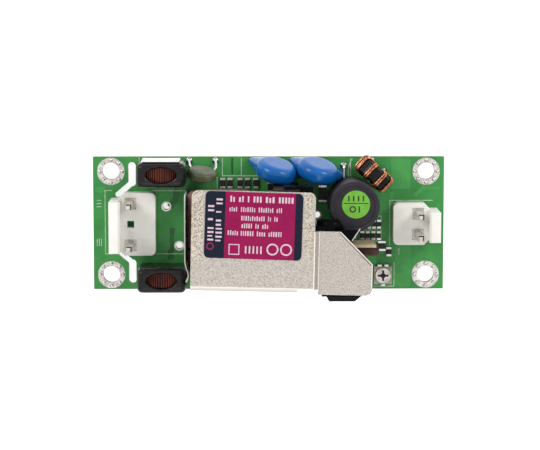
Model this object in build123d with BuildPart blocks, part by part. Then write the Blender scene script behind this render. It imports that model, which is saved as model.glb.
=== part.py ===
# Open frame switching power supply: a populated circuit board under a folded heatsink cover.
# Millimetres. The origin is the middle of the four mounting holes, on the underside of the board.
import os
from math import acos, cos, degrees, radians, sin, sqrt

from build123d import *

os.makedirs("parts", exist_ok=True)

# Board
board_length = 66.8
board_width = 25.4
board_thickness = 1.6
mount_spacing_x = 60.0
mount_spacing_y = 19.8
mount_hole_diameter = 3.2
mount_land_diameter = 5.2
land_thickness = 0.06
slot_x = -26.0
slot_end_y = 10.9
slot_knee_y = 7.7
slot_tip_x = -28.7
slot_tip_y = 5.4
slot_width = 1.45
slot_narrow_width = 1.1
spare_hole_diameter = 1.3
spare_land_diameter = 1.9
spare_holes = [(-19.5, 3.2), (-17.05, -4.35), (9.22, 1.52)]

# Leads
lead_stub = 2.2
lead_diameter = 0.6
lead_hole_clearance = 0.3
solder_diameter = 1.4
solder_height = 0.7

# Wire to board headers
header_pitch = 3.96
header_row_y = 0.1
header_margin = 2.0
header_front = 4.7
header_back = 3.75
header_floor = 3.15
header_wall = 1.7
header_wall_height = 9.35
header_wall_inset = 1.15
header_shoulder = 1.15
header_corner = 1.0
header_lip = 0.45
pin_size = 1.14
pin_height = 9.9
pin_pocket = 2.2
pin_pocket_depth = 0.6
spare_way_hole = 1.3
ac_header_x = -26.14
ac_header_ways = 3
dc_header_x = 28.27
dc_header_ways = 2

# Input chokes
choke_x = -20.15
choke_y = 9.9
choke_core_diameter = 7.3
choke_core_bore = 3.4
choke_core_thickness = 2.75
choke_wire = 0.42
choke_turns = 22
choke_rise = 0.6
choke_lead_spread = 5.0
sleeve_wall = 0.3
sleeve_gap = 0.05
sleeve_shoulder = 0.9
sleeve_corner = 0.8
sleeve_opening_length = 6.0
sleeve_opening_width = 3.3

# Inrush thermistor
thermistor_x = -12.6
thermistor_y = 10.0
thermistor_diameter = 5.4
thermistor_thickness = 2.6
thermistor_turn = 16
thermistor_lean = 26
thermistor_clearance = 0.7
thermistor_pitch = 5.0

# Suppression capacitors
disc_left_x = 1.35
disc_right_x = 9.15
disc_y = 10.4
disc_diameter = 7.9
disc_thickness = 3.3
disc_turn = 15
disc_lean = 16
disc_clearance = 0.7
disc_lead_pitch = 10.0
disc_lead_turn = 16
disc_lead_y = 10.57
disc_foot_radius = 0.5

# Output choke
toroid_x = 19.8
toroid_y = 9.75
toroid_turn = 43
toroid_core_diameter = 6.8
toroid_core_bore = 3.2
toroid_core_thickness = 3.0
toroid_wire = 0.38
toroid_lead_diameter = 0.34
toroid_rise = 0.2
toroid_turn_angles = [21, 64, 92]
toroid_lead_offset = 1.5

# Drum inductor
drum_x = 15.8
drum_north_edge = 8.95
drum_diameter = 9.4
drum_height = 10.4
drum_rise = 0.6
drum_wall = 0.3
drum_flange_share = 0.15
drum_waist_share = 0.53
drum_rim = 0.5
sticker_diameter = 5.2
sticker_thickness = 0.08
sticker_shift_x = 0.27
sticker_shift_y = 0.4
drum_north_land = (14.25, 11.0)
drum_south_land = (16.1, -2.8)
drum_lead_meets = [14.25, 17.35]
drum_lead_height = 1.4

# Heatsink cover
cover_x = -3.0
cover_y = -1.5
cover_turn = -1.3
cover_thickness = 0.5
cover_top = 17.0
cover_drop = 1.0
cover_west = -11.4
cover_north = 9.05
cover_south = -9.6
cover_ledge_south = -9.9
cover_step_x = 11.3
cover_step_run = 0.8
cover_east = 22.1
cover_ledge_north = 1.85
cover_slant_x = 16.1
cover_slant_y = -4.1
cover_bend = 0.6
cover_wall_east = 8.3
cover_relief = -8.9
cover_wall_foot = 1.0
cover_corner = 1.2
cover_tab_width = 1.6
cover_tabs = [-9.0, 5.6]
label_length = 17.9
label_width = 12.3
label_thickness = 0.12
label_corner = 0.9
label_shift_y = 2.75
label_turn = -2.0

# Insulation
film_thickness = 0.3
film_west = 9.6
film_east = 17.0
film_south = -12.1
film_north = 1.0
film_flap_west = 8.7
film_flap_east = 12.0
film_flap_depth = 0.75
film_flap_foot = 6.0
film_tail_length = 1.6
film_tail_slope = 47
film_tail_top = (10.5, 16.85)
film_tail_end = (11.05, 15.85)
barrier_x = -15.66
barrier_north = 6.4
barrier_thickness = 0.2
barrier_height = 12.0

# Bulk capacitor, lying along Y under the cover
bulk_x = -9.05
bulk_north = 7.7
bulk_length = 14.0
bulk_diameter = 12.5
bulk_rise = 0.7
bulk_pitch = 5.0
bulk_lead_reach = 1.0

# Output capacitor, lying along X under the cover's lower end
output_west = 7.6
output_y = -8.65
output_length = 11.0
output_diameter = 6.3
output_rise = 0.3
output_pitch = 2.5
output_lead_reach = 0.55

# Both electrolytic capacitors
can_sleeve = 0.15
can_groove_depth = 0.4
can_groove_at = 2.0
can_groove_width = 1.2
can_edge = 0.5
can_rim = 0.6
can_lip = 0.7
bung_thickness = 1.0

# Transformer, standing with its coil upright
core_x = 3.15
core_y = -0.3
core_width = 16.1
core_depth = 4.8
core_height = 14.2
core_leg = 2.6
core_centre_leg = 4.4
core_yoke = 2.6
core_rise = 0.5
bobbin_wall = 0.7
coil_depth = 10.4
coil_width = 10.4
rail_depth = 1.8
rail_height = 3.0
rail_length = 9.6
rail_pins = 4
rail_pitch = 2.5

# Power transistor against the cover's wall, and the upright rectifier of the same outline
transistor_width = 6.5
transistor_thickness = 2.3
transistor_height = 6.1
transistor_rise = 3.4
transistor_shift_x = -6.4
transistor_pitch = 2.3
transistor_tab = 1.2
transistor_tab_inset = 0.6
transistor_tab_thickness = 0.5
transistor_chamfer = 0.35
rectifier_x = 17.2
rectifier_face = -2.85
rectifier_rise = 3.9

# Chips on the top side
chip_height = 0.5
chip_terminal = 0.4
control_chips = [-8.74, -7.35, -5.45, -4.03, -2.44]
control_row_y = 7.65
start_chips = [0.3, 1.55]
start_row_y = 6.9
small_chip_width = 1.0
small_chip_length = 2.0
feedback_chips = [17.85, 18.9, 19.95, 21.0]
feedback_row_y = -2.4
sense_chips = [19.12, 20.08, 21.05]
sense_row_y = -0.2
feedback_chip_width = 0.8
feedback_chip_length = 1.7
link_chip_x = 10.25
link_chip_y = 5.65
link_chip_width = 1.55
link_chip_length = 3.2
divider_chips = [(21.6, -4.4, 1.5, 1.9), (22.95, -5.5, 1.0, 1.75)]

# Trimmer
trimmer_x = 21.82
trimmer_y = -9.98
trimmer_width = 3.4
trimmer_length = 4.1
trimmer_body = 1.0
trimmer_rotor_diameter = 2.9
trimmer_rotor_height = 0.45
trimmer_pivot_diameter = 0.9
trimmer_clearance = 0.05
trimmer_gap = 0.06
trimmer_slot = 0.4
trimmer_slot_depth = 0.25
trimmer_lead = 0.35
trimmer_pad = 1.3

# Underside parts
bridge_x = -12.0
bridge_y = -3.0
controller_x = -5.2
controller_y = 2.5
optocoupler_x = 3.15
optocoupler_y = -8.6
fuse_x = -20.6
fuse_y = 0.0
fuse_body = 6.1
fuse_width = 2.5
fuse_height = 1.9
fuse_cap = 0.8
package_standoff = 0.1
package_draft = 7
package_pin_mark = 0.7
gull_thickness = 0.2
gull_run = 0.3
gull_foot = 0.75
gull_bend = 0.12

board_top = board_thickness
drum_y = drum_north_edge - drum_diameter / 2
drum_flange = drum_height * drum_flange_share
drum_waist = drum_diameter * drum_waist_share


def leaning(x, y, z, turn, lean):
    """Plane of a disc that stands on edge, turned clockwise and leaning back from the north edge."""
    a = radians(turn)
    t = radians(lean)
    return Plane(origin=(x, y, z), x_dir=(cos(a), -sin(a), 0), z_dir=(cos(t) * sin(a), cos(t) * cos(a), sin(t)))


def add_turn(middle, side, angle, shift, inner, outer, depth, wire):
    """One squared turn of wire round a ring core that stands upright, at an angle from the top."""
    a = radians(angle)
    radial = Vector(0, 0, 1) * cos(a) + side * sin(a)
    tangent = side * cos(a) - Vector(0, 0, 1) * sin(a)
    with BuildSketch(Plane(origin=middle + tangent * shift, x_dir=radial, z_dir=tangent)) as turn:
        with Locations(((inner + outer) / 2, 0)):
            Rectangle(outer - inner, depth)
            Rectangle(outer - inner - 2 * wire, depth - 2 * wire, mode=Mode.SUBTRACT)
    extrude(turn.sketch, amount=wire / 2, both=True)


def add_post(x, y, bottom, top, diameter):
    """An upright round wire."""
    with BuildSketch(Plane.XY.offset(bottom)) as post:
        with Locations((x, y)):
            Circle(diameter / 2)
    extrude(post.sketch, amount=top - bottom)


def add_block(x, y, bottom, top, length, width):
    """An upright rectangular block."""
    with BuildSketch(Plane.XY.offset(bottom)) as block:
        with Locations((x, y)):
            Rectangle(length, width)
    extrude(block.sketch, amount=top - bottom)


def add_wire(points, radius, diameter):
    """A bent round wire through a list of points."""
    with BuildLine() as path:
        FilletPolyline(*points, radius=radius)
    start = path.line @ 0
    heading = path.line % 0
    with BuildSketch(Plane(origin=start, z_dir=heading)) as section:
        Circle(diameter / 2)
    sweep(section.sketch, path=path.line)


# Where each lead goes through the board
choke_lead_spots = [(choke_x + s * choke_lead_spread / 2, side * choke_y) for side in (1, -1) for s in (1, -1)]
thermistor_lead_y = board_width / 2 - 0.75
thermistor_spots = [(thermistor_x + s * thermistor_pitch / 2, thermistor_lead_y) for s in (1, -1)]
disc_lead_reach = Vector(cos(radians(disc_lead_turn)), -sin(radians(disc_lead_turn)), 0) * (disc_lead_pitch / 2)
disc_spots = {
    side: [(x + s * disc_lead_reach.X, disc_lead_y + s * disc_lead_reach.Y) for s in (-1, 1)]
    for side, x in (("left", disc_left_x), ("right", disc_right_x))
}
toroid_side = Vector(cos(radians(toroid_turn)), -sin(radians(toroid_turn)), 0)
toroid_axis = Vector(sin(radians(toroid_turn)), cos(radians(toroid_turn)), 0)
toroid_outer = toroid_core_diameter / 2 + toroid_wire
toroid_middle = Vector(toroid_x, toroid_y, board_top + toroid_rise + toroid_outer)
toroid_lead_reach = toroid_core_thickness / 2 + toroid_wire / 2
toroid_spots = {
    half: [toroid_middle + toroid_side * (way * toroid_lead_offset) + toroid_axis * (face * toroid_lead_reach) for face in (1, -1)]
    for half, way in (("west", -1), ("east", 1))
}
drum_spots = [drum_north_land, drum_south_land]
bulk_south = bulk_north - bulk_length
bulk_z = board_top + bulk_rise + bulk_diameter / 2
bulk_spots = [(bulk_x + s * bulk_pitch / 2, bulk_south - bulk_lead_reach) for s in (1, -1)]
output_east = output_west + output_length
output_z = board_top + output_rise + output_diameter / 2
output_spots = [(output_west - output_lead_reach, output_y + s * output_pitch / 2) for s in (1, -1)]
rail_offset = coil_depth / 2 - rail_depth / 2
rail_spots = [
    (core_x + side * rail_offset, core_y + (n - (rail_pins - 1) / 2) * rail_pitch)
    for side in (1, -1)
    for n in range(rail_pins)
]

cover_frame = Plane(
    origin=(cover_x, cover_y, 0), x_dir=(cos(radians(cover_turn)), sin(radians(cover_turn)), 0), z_dir=(0, 0, 1)
)
cover_wall_face = cover_south + cover_thickness
transistors = (
    ("power_transistor", cover_frame, transistor_shift_x, cover_wall_face, 1, board_top + transistor_rise),
    ("output_rectifier", Plane.XY, rectifier_x, rectifier_face, -1, board_top + rectifier_rise),
)
transistor_spots = [
    base.from_local_coords(Vector(x + n * transistor_pitch, face + way * transistor_thickness / 2, 0))
    for name, base, x, face, way, bottom in transistors
    for n in (-1, 0, 1)
]
tab_spots = [cover_frame.from_local_coords(Vector(x, cover_south + cover_thickness / 2, 0)) for x in cover_tabs]

ac_pin_spots = [(ac_header_x, header_row_y + s * header_pitch) for s in (1, -1)]
dc_pin_spots = [(dc_header_x, header_row_y + s * header_pitch / 2) for s in (1, -1)]
pin_hole_diameter = pin_size * sqrt(2) + 0.1
thin_spots = (
    choke_lead_spots + thermistor_spots + disc_spots["left"] + disc_spots["right"] + drum_spots + bulk_spots
    + output_spots + rail_spots + [(p.X, p.Y) for p in transistor_spots]
    + [(p.X, p.Y) for half in toroid_spots.values() for p in half]
)

# Circuit board
with BuildPart() as circuit_board:
    with BuildSketch():
        Rectangle(board_length, board_width)
        with GridLocations(mount_spacing_x, mount_spacing_y, 2, 2):
            Circle(mount_hole_diameter / 2, mode=Mode.SUBTRACT)
        knee_run = slot_end_y - slot_knee_y
        slant = Vector(slot_tip_x - slot_x, slot_tip_y - slot_knee_y)
        slant_angle = degrees(acos(slant.X / slant.length))
        for side in (1, -1):
            with Locations((slot_x, side * (slot_end_y + slot_knee_y) / 2)):
                SlotCenterToCenter(knee_run, slot_width, rotation=90, mode=Mode.SUBTRACT)
            with Locations(((slot_x + slot_tip_x) / 2, side * (slot_knee_y + slot_tip_y) / 2)):
                SlotCenterToCenter(
                    slant.length, slot_narrow_width, rotation=-side * slant_angle, mode=Mode.SUBTRACT
                )
        with Locations(*spare_holes):
            Circle(spare_hole_diameter / 2, mode=Mode.SUBTRACT)
        with Locations(*thin_spots):
            Circle((lead_diameter + lead_hole_clearance) / 2, mode=Mode.SUBTRACT)
        with Locations(*ac_pin_spots, *dc_pin_spots):
            Circle(pin_hole_diameter / 2, mode=Mode.SUBTRACT)
        with Locations(*[(p.X, p.Y) for p in tab_spots]):
            Rectangle(cover_tab_width + 0.2, cover_thickness + 0.2, rotation=cover_turn, mode=Mode.SUBTRACT)
    extrude(amount=board_thickness)
circuit_board.part.label = "circuit_board"
export_step(circuit_board.part, "parts/circuit_board.step")

# Tinned lands round the mounting holes, on both faces
with BuildPart() as mounting_lands:
    for bottom in (board_top, -land_thickness):
        with BuildSketch(Plane.XY.offset(bottom)):
            with GridLocations(mount_spacing_x, mount_spacing_y, 2, 2):
                Circle(mount_land_diameter / 2)
                Circle(mount_hole_diameter / 2, mode=Mode.SUBTRACT)
        extrude(amount=land_thickness)
mounting_lands.part.label = "mounting_lands"
export_step(mounting_lands.part, "parts/mounting_lands.step")

# Tinned lands round the open plated holes
with BuildPart() as spare_lands:
    for bottom in (board_top, -land_thickness):
        with BuildSketch(Plane.XY.offset(bottom)):
            with Locations(*spare_holes):
                Circle(spare_land_diameter / 2)
                Circle(spare_hole_diameter / 2, mode=Mode.SUBTRACT)
        extrude(amount=land_thickness)
spare_lands.part.label = "spare_lands"
export_step(spare_lands.part, "parts/spare_lands.step")


def header_housing(pin_x, side, ways, pin_ways):
    """Nylon base with one tall locking wall; side is +1 when the wall faces +X."""
    half = (header_pitch * (ways - 1)) / 2 + header_margin
    neck = half - header_wall_inset

    def at(u, v):
        return (pin_x + side * u, header_row_y + v)

    outline = [
        at(-header_front, -half), at(header_shoulder, -half),
        at(header_shoulder + header_wall_inset, -neck), at(header_back, -neck),
        at(header_back, neck), at(header_shoulder + header_wall_inset, neck),
        at(header_shoulder, half), at(-header_front, half),
    ]
    with BuildSketch(Plane.XY.offset(board_top)) as base:
        with BuildLine():
            Polyline(*outline, close=True)
        make_face()
        front = base.vertices().group_by(Axis.X)[0 if side > 0 else -1]
        fillet(front, header_corner)
    extrude(base.sketch, amount=header_floor)
    wall_top = board_top + header_wall_height
    lip_bottom = wall_top - 2 * header_lip
    add_block(*at(header_back - header_wall / 2, 0), board_top, wall_top, header_wall, 2 * neck)
    with BuildSketch(Plane.XZ.offset(-header_row_y - neck)) as lip:
        with BuildLine():
            inner = pin_x + side * (header_back - header_wall)
            Polyline(
                (inner, lip_bottom), (inner - side * header_lip, lip_bottom + header_lip), (inner, wall_top), close=True
            )
        make_face()
    extrude(lip.sketch, amount=2 * neck)
    for n in range(ways):
        y = header_row_y + (n - (ways - 1) / 2) * header_pitch
        hole = pin_size if n in pin_ways else spare_way_hole
        with BuildSketch(Plane.XY.offset(board_top)) as cut:
            with Locations((pin_x, y)):
                Rectangle(hole, hole)
        extrude(cut.sketch, amount=header_floor, mode=Mode.SUBTRACT)
        if n in pin_ways:
            with BuildSketch(Plane.XY.offset(board_top + header_floor)) as pocket:
                with Locations((pin_x, y)):
                    Rectangle(pin_pocket, pin_pocket)
            extrude(pocket.sketch, amount=-pin_pocket_depth, mode=Mode.SUBTRACT)


def header_pins(spots):
    """Square posts with pyramid tips."""
    for x, y in spots:
        add_block(x, y, -lead_stub, board_top + pin_height, pin_size, pin_size)


with BuildPart() as ac_header_housing:
    header_housing(ac_header_x, -1, ac_header_ways, (0, 2))
ac_header_housing.part.label = "ac_header_housing"
export_step(ac_header_housing.part, "parts/ac_header_housing.step")

with BuildPart() as dc_header_housing:
    header_housing(dc_header_x, 1, dc_header_ways, (0, 1))
dc_header_housing.part.label = "dc_header_housing"
export_step(dc_header_housing.part, "parts/dc_header_housing.step")

with BuildPart() as ac_header_pins:
    header_pins(ac_pin_spots)
    chamfer(ac_header_pins.faces().filter_by(Axis.Z).group_by(Axis.Z)[-1].edges(), pin_size / 4)
ac_header_pins.part.label = "ac_header_pins"
export_step(ac_header_pins.part, "parts/ac_header_pins.step")

with BuildPart() as dc_header_pins:
    header_pins(dc_pin_spots)
    chamfer(dc_header_pins.faces().filter_by(Axis.Z).group_by(Axis.Z)[-1].edges(), pin_size / 4)
dc_header_pins.part.label = "dc_header_pins"
export_step(dc_header_pins.part, "parts/dc_header_pins.step")

# Input chokes: a wound ring core standing on edge in a heat-shrink sleeve that is open above and below
choke_outer = choke_core_diameter / 2 + choke_wire
choke_z = board_top + choke_rise + choke_outer
choke_depth = choke_core_thickness + 2 * choke_wire
sleeve_length = 2 * (choke_outer + sleeve_gap + sleeve_wall)
sleeve_width = choke_depth + 2 * (sleeve_gap + sleeve_wall)
sleeve_bottom = board_top + 0.3
sleeve_ceiling = choke_z + choke_outer + sleeve_gap

for name, side in (("line_choke", 1), ("neutral_choke", -1)):
    middle = Vector(choke_x, side * choke_y, choke_z)
    with BuildPart() as choke_core:
        with BuildSketch(Plane(origin=middle, x_dir=(1, 0, 0), z_dir=(0, 1, 0))):
            Circle(choke_core_diameter / 2)
            Circle(choke_core_bore / 2, mode=Mode.SUBTRACT)
        extrude(amount=choke_core_thickness / 2, both=True)
    choke_core.part.label = f"{name}_core"
    export_step(choke_core.part, f"parts/{name}_core.step")

    with BuildPart() as choke_winding:
        for n in range(choke_turns):
            add_turn(
                middle, Vector(1, 0, 0), (n + 0.5) * 360 / choke_turns, 0,
                choke_core_bore / 2 - choke_wire, choke_outer, choke_depth, choke_wire * 0.8,
            )
        for s in (1, -1):
            x = choke_x + s * choke_lead_spread / 2
            drop = sqrt(choke_outer**2 - (choke_lead_spread / 2) ** 2)
            add_post(x, side * choke_y, -lead_stub, choke_z - drop + choke_wire / 4, lead_diameter)
    choke_winding.part.label = f"{name}_winding"
    export_step(choke_winding.part, f"parts/{name}_winding.step")

    with BuildPart() as choke_sleeve:
        with BuildSketch(Plane.XY.offset(sleeve_bottom)):
            with Locations((choke_x, side * choke_y)):
                RectangleRounded(sleeve_length, sleeve_width, sleeve_corner)
        extrude(amount=sleeve_ceiling + sleeve_wall - sleeve_bottom)
        fillet(choke_sleeve.faces().sort_by(Axis.Z)[-1].edges(), sleeve_shoulder)
        with BuildSketch(Plane.XY.offset(sleeve_bottom)):
            with Locations((choke_x, side * choke_y)):
                RectangleRounded(
                    sleeve_length - 2 * sleeve_wall, sleeve_width - 2 * sleeve_wall, sleeve_corner - sleeve_wall
                )
        extrude(amount=choke_z - sleeve_bottom, mode=Mode.SUBTRACT)
        with BuildSketch(Plane(origin=middle, x_dir=(1, 0, 0), z_dir=(0, 1, 0))):
            Circle(choke_outer + sleeve_gap)
        extrude(amount=choke_depth / 2 + sleeve_gap, both=True, mode=Mode.SUBTRACT)
        with BuildSketch(Plane.XY.offset(choke_z)):
            with Locations((choke_x, side * choke_y)):
                Ellipse(sleeve_opening_length / 2, sleeve_opening_width / 2)
        extrude(amount=sleeve_ceiling + sleeve_wall - choke_z, mode=Mode.SUBTRACT)
    choke_sleeve.part.label = f"{name}_sleeve"
    export_step(choke_sleeve.part, f"parts/{name}_sleeve.step")

# Inrush thermistor: a coated disc that leans in from the north edge
thermistor_drop = thermistor_diameter / 2 * cos(radians(thermistor_lean))
thermistor_z = board_top + thermistor_clearance + thermistor_drop
thermistor_frame = leaning(thermistor_x, thermistor_y, thermistor_z, thermistor_turn, thermistor_lean)
with BuildPart() as inrush_thermistor:
    with BuildSketch(thermistor_frame):
        Circle(thermistor_diameter / 2)
    extrude(amount=thermistor_thickness / 2, both=True)
    fillet(inrush_thermistor.edges().filter_by(GeomType.CIRCLE), thermistor_thickness * 0.4)
inrush_thermistor.part.label = "inrush_thermistor"
export_step(inrush_thermistor.part, "parts/inrush_thermistor.step")

with BuildPart() as inrush_thermistor_leads:
    for s, (x, y) in zip((1, -1), thermistor_spots):
        lift = (thermistor_thickness + lead_diameter) / 2
        knee = thermistor_frame.from_local_coords(Vector(s * thermistor_diameter * 0.42, 0, lift + 0.15))
        end = thermistor_frame.from_local_coords(Vector(s * thermistor_diameter * 0.22, -1.0, lift + 0.01))
        low = (x, y, board_top + lead_diameter)
        add_wire([(x, y, -lead_stub), low, (knee.X, knee.Y, knee.Z), (end.X, end.Y, end.Z)], 0.35, lead_diameter)
inrush_thermistor_leads.part.label = "inrush_thermistor_leads"
export_step(inrush_thermistor_leads.part, "parts/inrush_thermistor_leads.step")

# Suppression capacitors: coated discs whose epoxy runs down onto the leads
disc_z = board_top + disc_clearance + disc_diameter / 2 * cos(radians(disc_lean))
for name, disc_x in (("left", disc_left_x), ("right", disc_right_x)):
    disc_frame = leaning(disc_x, disc_y, disc_z, disc_turn, disc_lean)
    with BuildPart() as disc_capacitor:
        with BuildSketch(disc_frame):
            Circle(disc_diameter / 2)
        extrude(amount=disc_thickness / 2, both=True)
        fillet(disc_capacitor.edges().filter_by(GeomType.CIRCLE), disc_thickness * 0.42)
        for s, (x, y) in zip((-1, 1), disc_spots[name]):
            foot = Vector(x, y, board_top + disc_clearance)
            root = disc_frame.from_local_coords(Vector(s * disc_diameter * 0.26, disc_diameter * 0.26, 0))
            run = root - foot
            with Locations(Plane(origin=foot, z_dir=run)):
                Cone(disc_foot_radius, disc_thickness * 0.4, run.length, align=(Align.CENTER, Align.CENTER, Align.MIN))
    disc_capacitor.part.label = f"y_capacitor_{name}"
    export_step(disc_capacitor.part, f"parts/y_capacitor_{name}.step")

    with BuildPart() as disc_leads:
        for x, y in disc_spots[name]:
            add_post(x, y, -lead_stub, board_top + disc_clearance - disc_foot_radius, lead_diameter)
    disc_leads.part.label = f"y_capacitor_{name}_leads"
    export_step(disc_leads.part, f"parts/y_capacitor_{name}_leads.step")

# Output choke: a ring core on edge with two heavy windings of paired wire
with BuildPart() as output_choke_core:
    with BuildSketch(Plane(origin=toroid_middle, x_dir=toroid_side, z_dir=toroid_axis)):
        Circle(toroid_core_diameter / 2)
        Circle(toroid_core_bore / 2, mode=Mode.SUBTRACT)
    extrude(amount=toroid_core_thickness / 2, both=True)
output_choke_core.part.label = "output_choke_core"
export_step(output_choke_core.part, "parts/output_choke_core.step")

for name, way in (("west", -1), ("east", 1)):
    with BuildPart() as choke_coil:
        for angle in toroid_turn_angles:
            for strand in (-0.5, 0.5):
                add_turn(
                    toroid_middle, toroid_side, way * angle, strand * toroid_wire,
                    toroid_core_bore / 2 - toroid_wire - 0.06, toroid_outer,
                    toroid_core_thickness + 2 * toroid_wire, toroid_wire,
                )
        for spot in toroid_spots[name]:
            add_post(spot.X, spot.Y, -lead_stub, toroid_middle.Z, toroid_lead_diameter)
    choke_coil.part.label = f"output_choke_winding_{name}"
    export_step(choke_coil.part, f"parts/output_choke_winding_{name}.step")

# Drum inductor: a ferrite spool, its winding and a shrunk sleeve
drum_base = board_top + drum_rise
drum_top = drum_base + drum_height
spool_radius = drum_diameter / 2 - drum_wall
spool_bottom = drum_base + drum_wall
spool_top = drum_top - drum_wall
drum_plane = Plane(origin=(drum_x, drum_y, 0), x_dir=(1, 0, 0), z_dir=(0, -1, 0))
drum_axis = Axis((drum_x, drum_y, 0), (0, 0, 1))
with BuildPart() as drum_inductor_core:
    with BuildSketch(drum_plane):
        with BuildLine():
            Polyline(
                (0, spool_bottom), (spool_radius, spool_bottom), (spool_radius, spool_bottom + drum_flange),
                (drum_waist / 2, spool_bottom + drum_flange), (drum_waist / 2, spool_top - drum_flange),
                (spool_radius, spool_top - drum_flange), (spool_radius, spool_top), (0, spool_top), close=True,
            )
        make_face()
    revolve(axis=drum_axis)
drum_inductor_core.part.label = "drum_inductor_core"
export_step(drum_inductor_core.part, "parts/drum_inductor_core.step")

with BuildPart() as drum_inductor_winding:
    with BuildSketch(Plane.XY.offset(spool_bottom + drum_flange)):
        with Locations((drum_x, drum_y)):
            Circle(spool_radius - drum_wall)
            Circle(drum_waist / 2, mode=Mode.SUBTRACT)
    extrude(amount=spool_top - spool_bottom - 2 * drum_flange)
drum_inductor_winding.part.label = "drum_inductor_winding"
export_step(drum_inductor_winding.part, "parts/drum_inductor_winding.step")

with BuildPart() as drum_inductor_sleeve:
    with BuildSketch(Plane.XY.offset(drum_base)):
        with Locations((drum_x, drum_y)):
            Circle(drum_diameter / 2)
    extrude(amount=drum_height)
    fillet(drum_inductor_sleeve.edges().filter_by(GeomType.CIRCLE), drum_wall * 0.9)
    with BuildSketch(Plane.XY.offset(spool_bottom)):
        with Locations((drum_x, drum_y)):
            Circle(spool_radius)
    extrude(amount=spool_top - spool_bottom, mode=Mode.SUBTRACT)
    with BuildSketch(Plane.XY.offset(drum_base)):
        with Locations((drum_x, drum_y)):
            Circle(spool_radius - drum_rim)
    extrude(amount=drum_height, mode=Mode.SUBTRACT)
drum_inductor_sleeve.part.label = "drum_inductor_sleeve"
export_step(drum_inductor_sleeve.part, "parts/drum_inductor_sleeve.step")

with BuildPart() as drum_inductor_leads:
    lead_z = drum_base + drum_lead_height
    for (x, y), meet_x in zip(drum_spots, drum_lead_meets):
        reach = sqrt((drum_diameter / 2 + 0.02) ** 2 - (abs(meet_x - drum_x) - lead_diameter / 2) ** 2)
        meet_y = drum_y + (reach if y > drum_y else -reach)
        add_wire([(x, y, -lead_stub), (x, y, lead_z), (meet_x, meet_y, lead_z)], 0.4, lead_diameter)
drum_inductor_leads.part.label = "drum_inductor_leads"
export_step(drum_inductor_leads.part, "parts/drum_inductor_leads.step")

with BuildPart() as inspection_sticker:
    with BuildSketch(Plane.XY.offset(spool_top)):
        with Locations((drum_x + sticker_shift_x, drum_y + sticker_shift_y)):
            Circle(sticker_diameter / 2)
    extrude(amount=sticker_thickness)
inspection_sticker.part.label = "inspection_sticker"
export_step(inspection_sticker.part, "parts/inspection_sticker.step")

# Heatsink cover: one tinned sheet with a joggle, a lower ledge and a bent south wall with two board tabs
ledge_top = cover_top - cover_drop
wall_foot = board_top + cover_wall_foot
with BuildPart() as heatsink_cover:
    north_face = Plane(
        origin=cover_frame.from_local_coords(Vector(0, cover_north, 0)), x_dir=cover_frame.x_dir, z_dir=-cover_frame.y_dir
    )
    with BuildSketch(north_face):
        with BuildLine():
            Polyline(
                (cover_west, cover_top), (cover_step_x, cover_top),
                (cover_step_x + cover_step_run, ledge_top), (cover_east, ledge_top),
                (cover_east, ledge_top - cover_thickness),
                (cover_step_x + cover_step_run - cover_thickness / 2, ledge_top - cover_thickness),
                (cover_step_x - cover_thickness / 2, cover_top - cover_thickness),
                (cover_west, cover_top - cover_thickness), close=True,
            )
        make_face()
    extrude(amount=cover_north - cover_ledge_south)
    with BuildSketch(cover_frame) as cover_outline:
        with BuildLine():
            step_east = cover_step_x + cover_step_run
            Polyline(
                (cover_west, cover_north), (cover_step_x, cover_north), (cover_step_x, cover_ledge_north),
                (cover_slant_x, cover_ledge_north), (cover_east, cover_slant_y), (cover_east, cover_ledge_south),
                (step_east, cover_ledge_south), (step_east, cover_relief), (cover_wall_east, cover_relief),
                (cover_wall_east, cover_south), (cover_west, cover_south), close=True,
            )
        make_face()
        corners = [(cover_west, cover_north), (cover_step_x, cover_north), (cover_east, cover_ledge_south)]
        rounded = [cover_outline.vertices().sort_by_distance(cover_frame.from_local_coords(Vector(*c, 0)))[0] for c in corners]
        fillet(rounded, cover_corner)
    extrude(amount=cover_top + 1, mode=Mode.INTERSECT)
    with BuildSketch(cover_frame.offset(wall_foot)):
        with Locations(((cover_west + cover_wall_east) / 2, cover_south + cover_thickness / 2)):
            Rectangle(cover_wall_east - cover_west, cover_thickness)
    extrude(amount=cover_top - wall_foot)
    along = heatsink_cover.edges().filter_by(lambda e: abs((e % 0.5).dot(cover_frame.x_dir)) > 0.999)
    outer_edge = cover_frame.from_local_coords(Vector(0, cover_south, cover_top))
    inner_edge = cover_frame.from_local_coords(Vector(0, cover_south + cover_thickness, cover_top - cover_thickness))
    fillet(along.sort_by_distance(outer_edge)[0], cover_bend + cover_thickness)
    along = heatsink_cover.edges().filter_by(lambda e: abs((e % 0.5).dot(cover_frame.x_dir)) > 0.999)
    fillet(along.sort_by_distance(inner_edge)[0], cover_bend)
    with BuildSketch(cover_frame.offset(-lead_stub)):
        with Locations(*[(x, cover_south + cover_thickness / 2) for x in cover_tabs]):
            Rectangle(cover_tab_width, cover_thickness)
    extrude(amount=wall_foot + lead_stub)
heatsink_cover.part.label = "heatsink_cover"
export_step(heatsink_cover.part, "parts/heatsink_cover.step")

label_frame = Plane(
    origin=cover_frame.from_local_coords(Vector(0, label_shift_y, cover_top)),
    x_dir=(cos(radians(label_turn)), sin(radians(label_turn)), 0), z_dir=(0, 0, 1),
)
with BuildPart() as rating_label:
    with BuildSketch(label_frame):
        RectangleRounded(label_length, label_width, label_corner)
    extrude(amount=label_thickness)
rating_label.part.label = "rating_label"
export_step(rating_label.part, "parts/rating_label.step")

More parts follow.
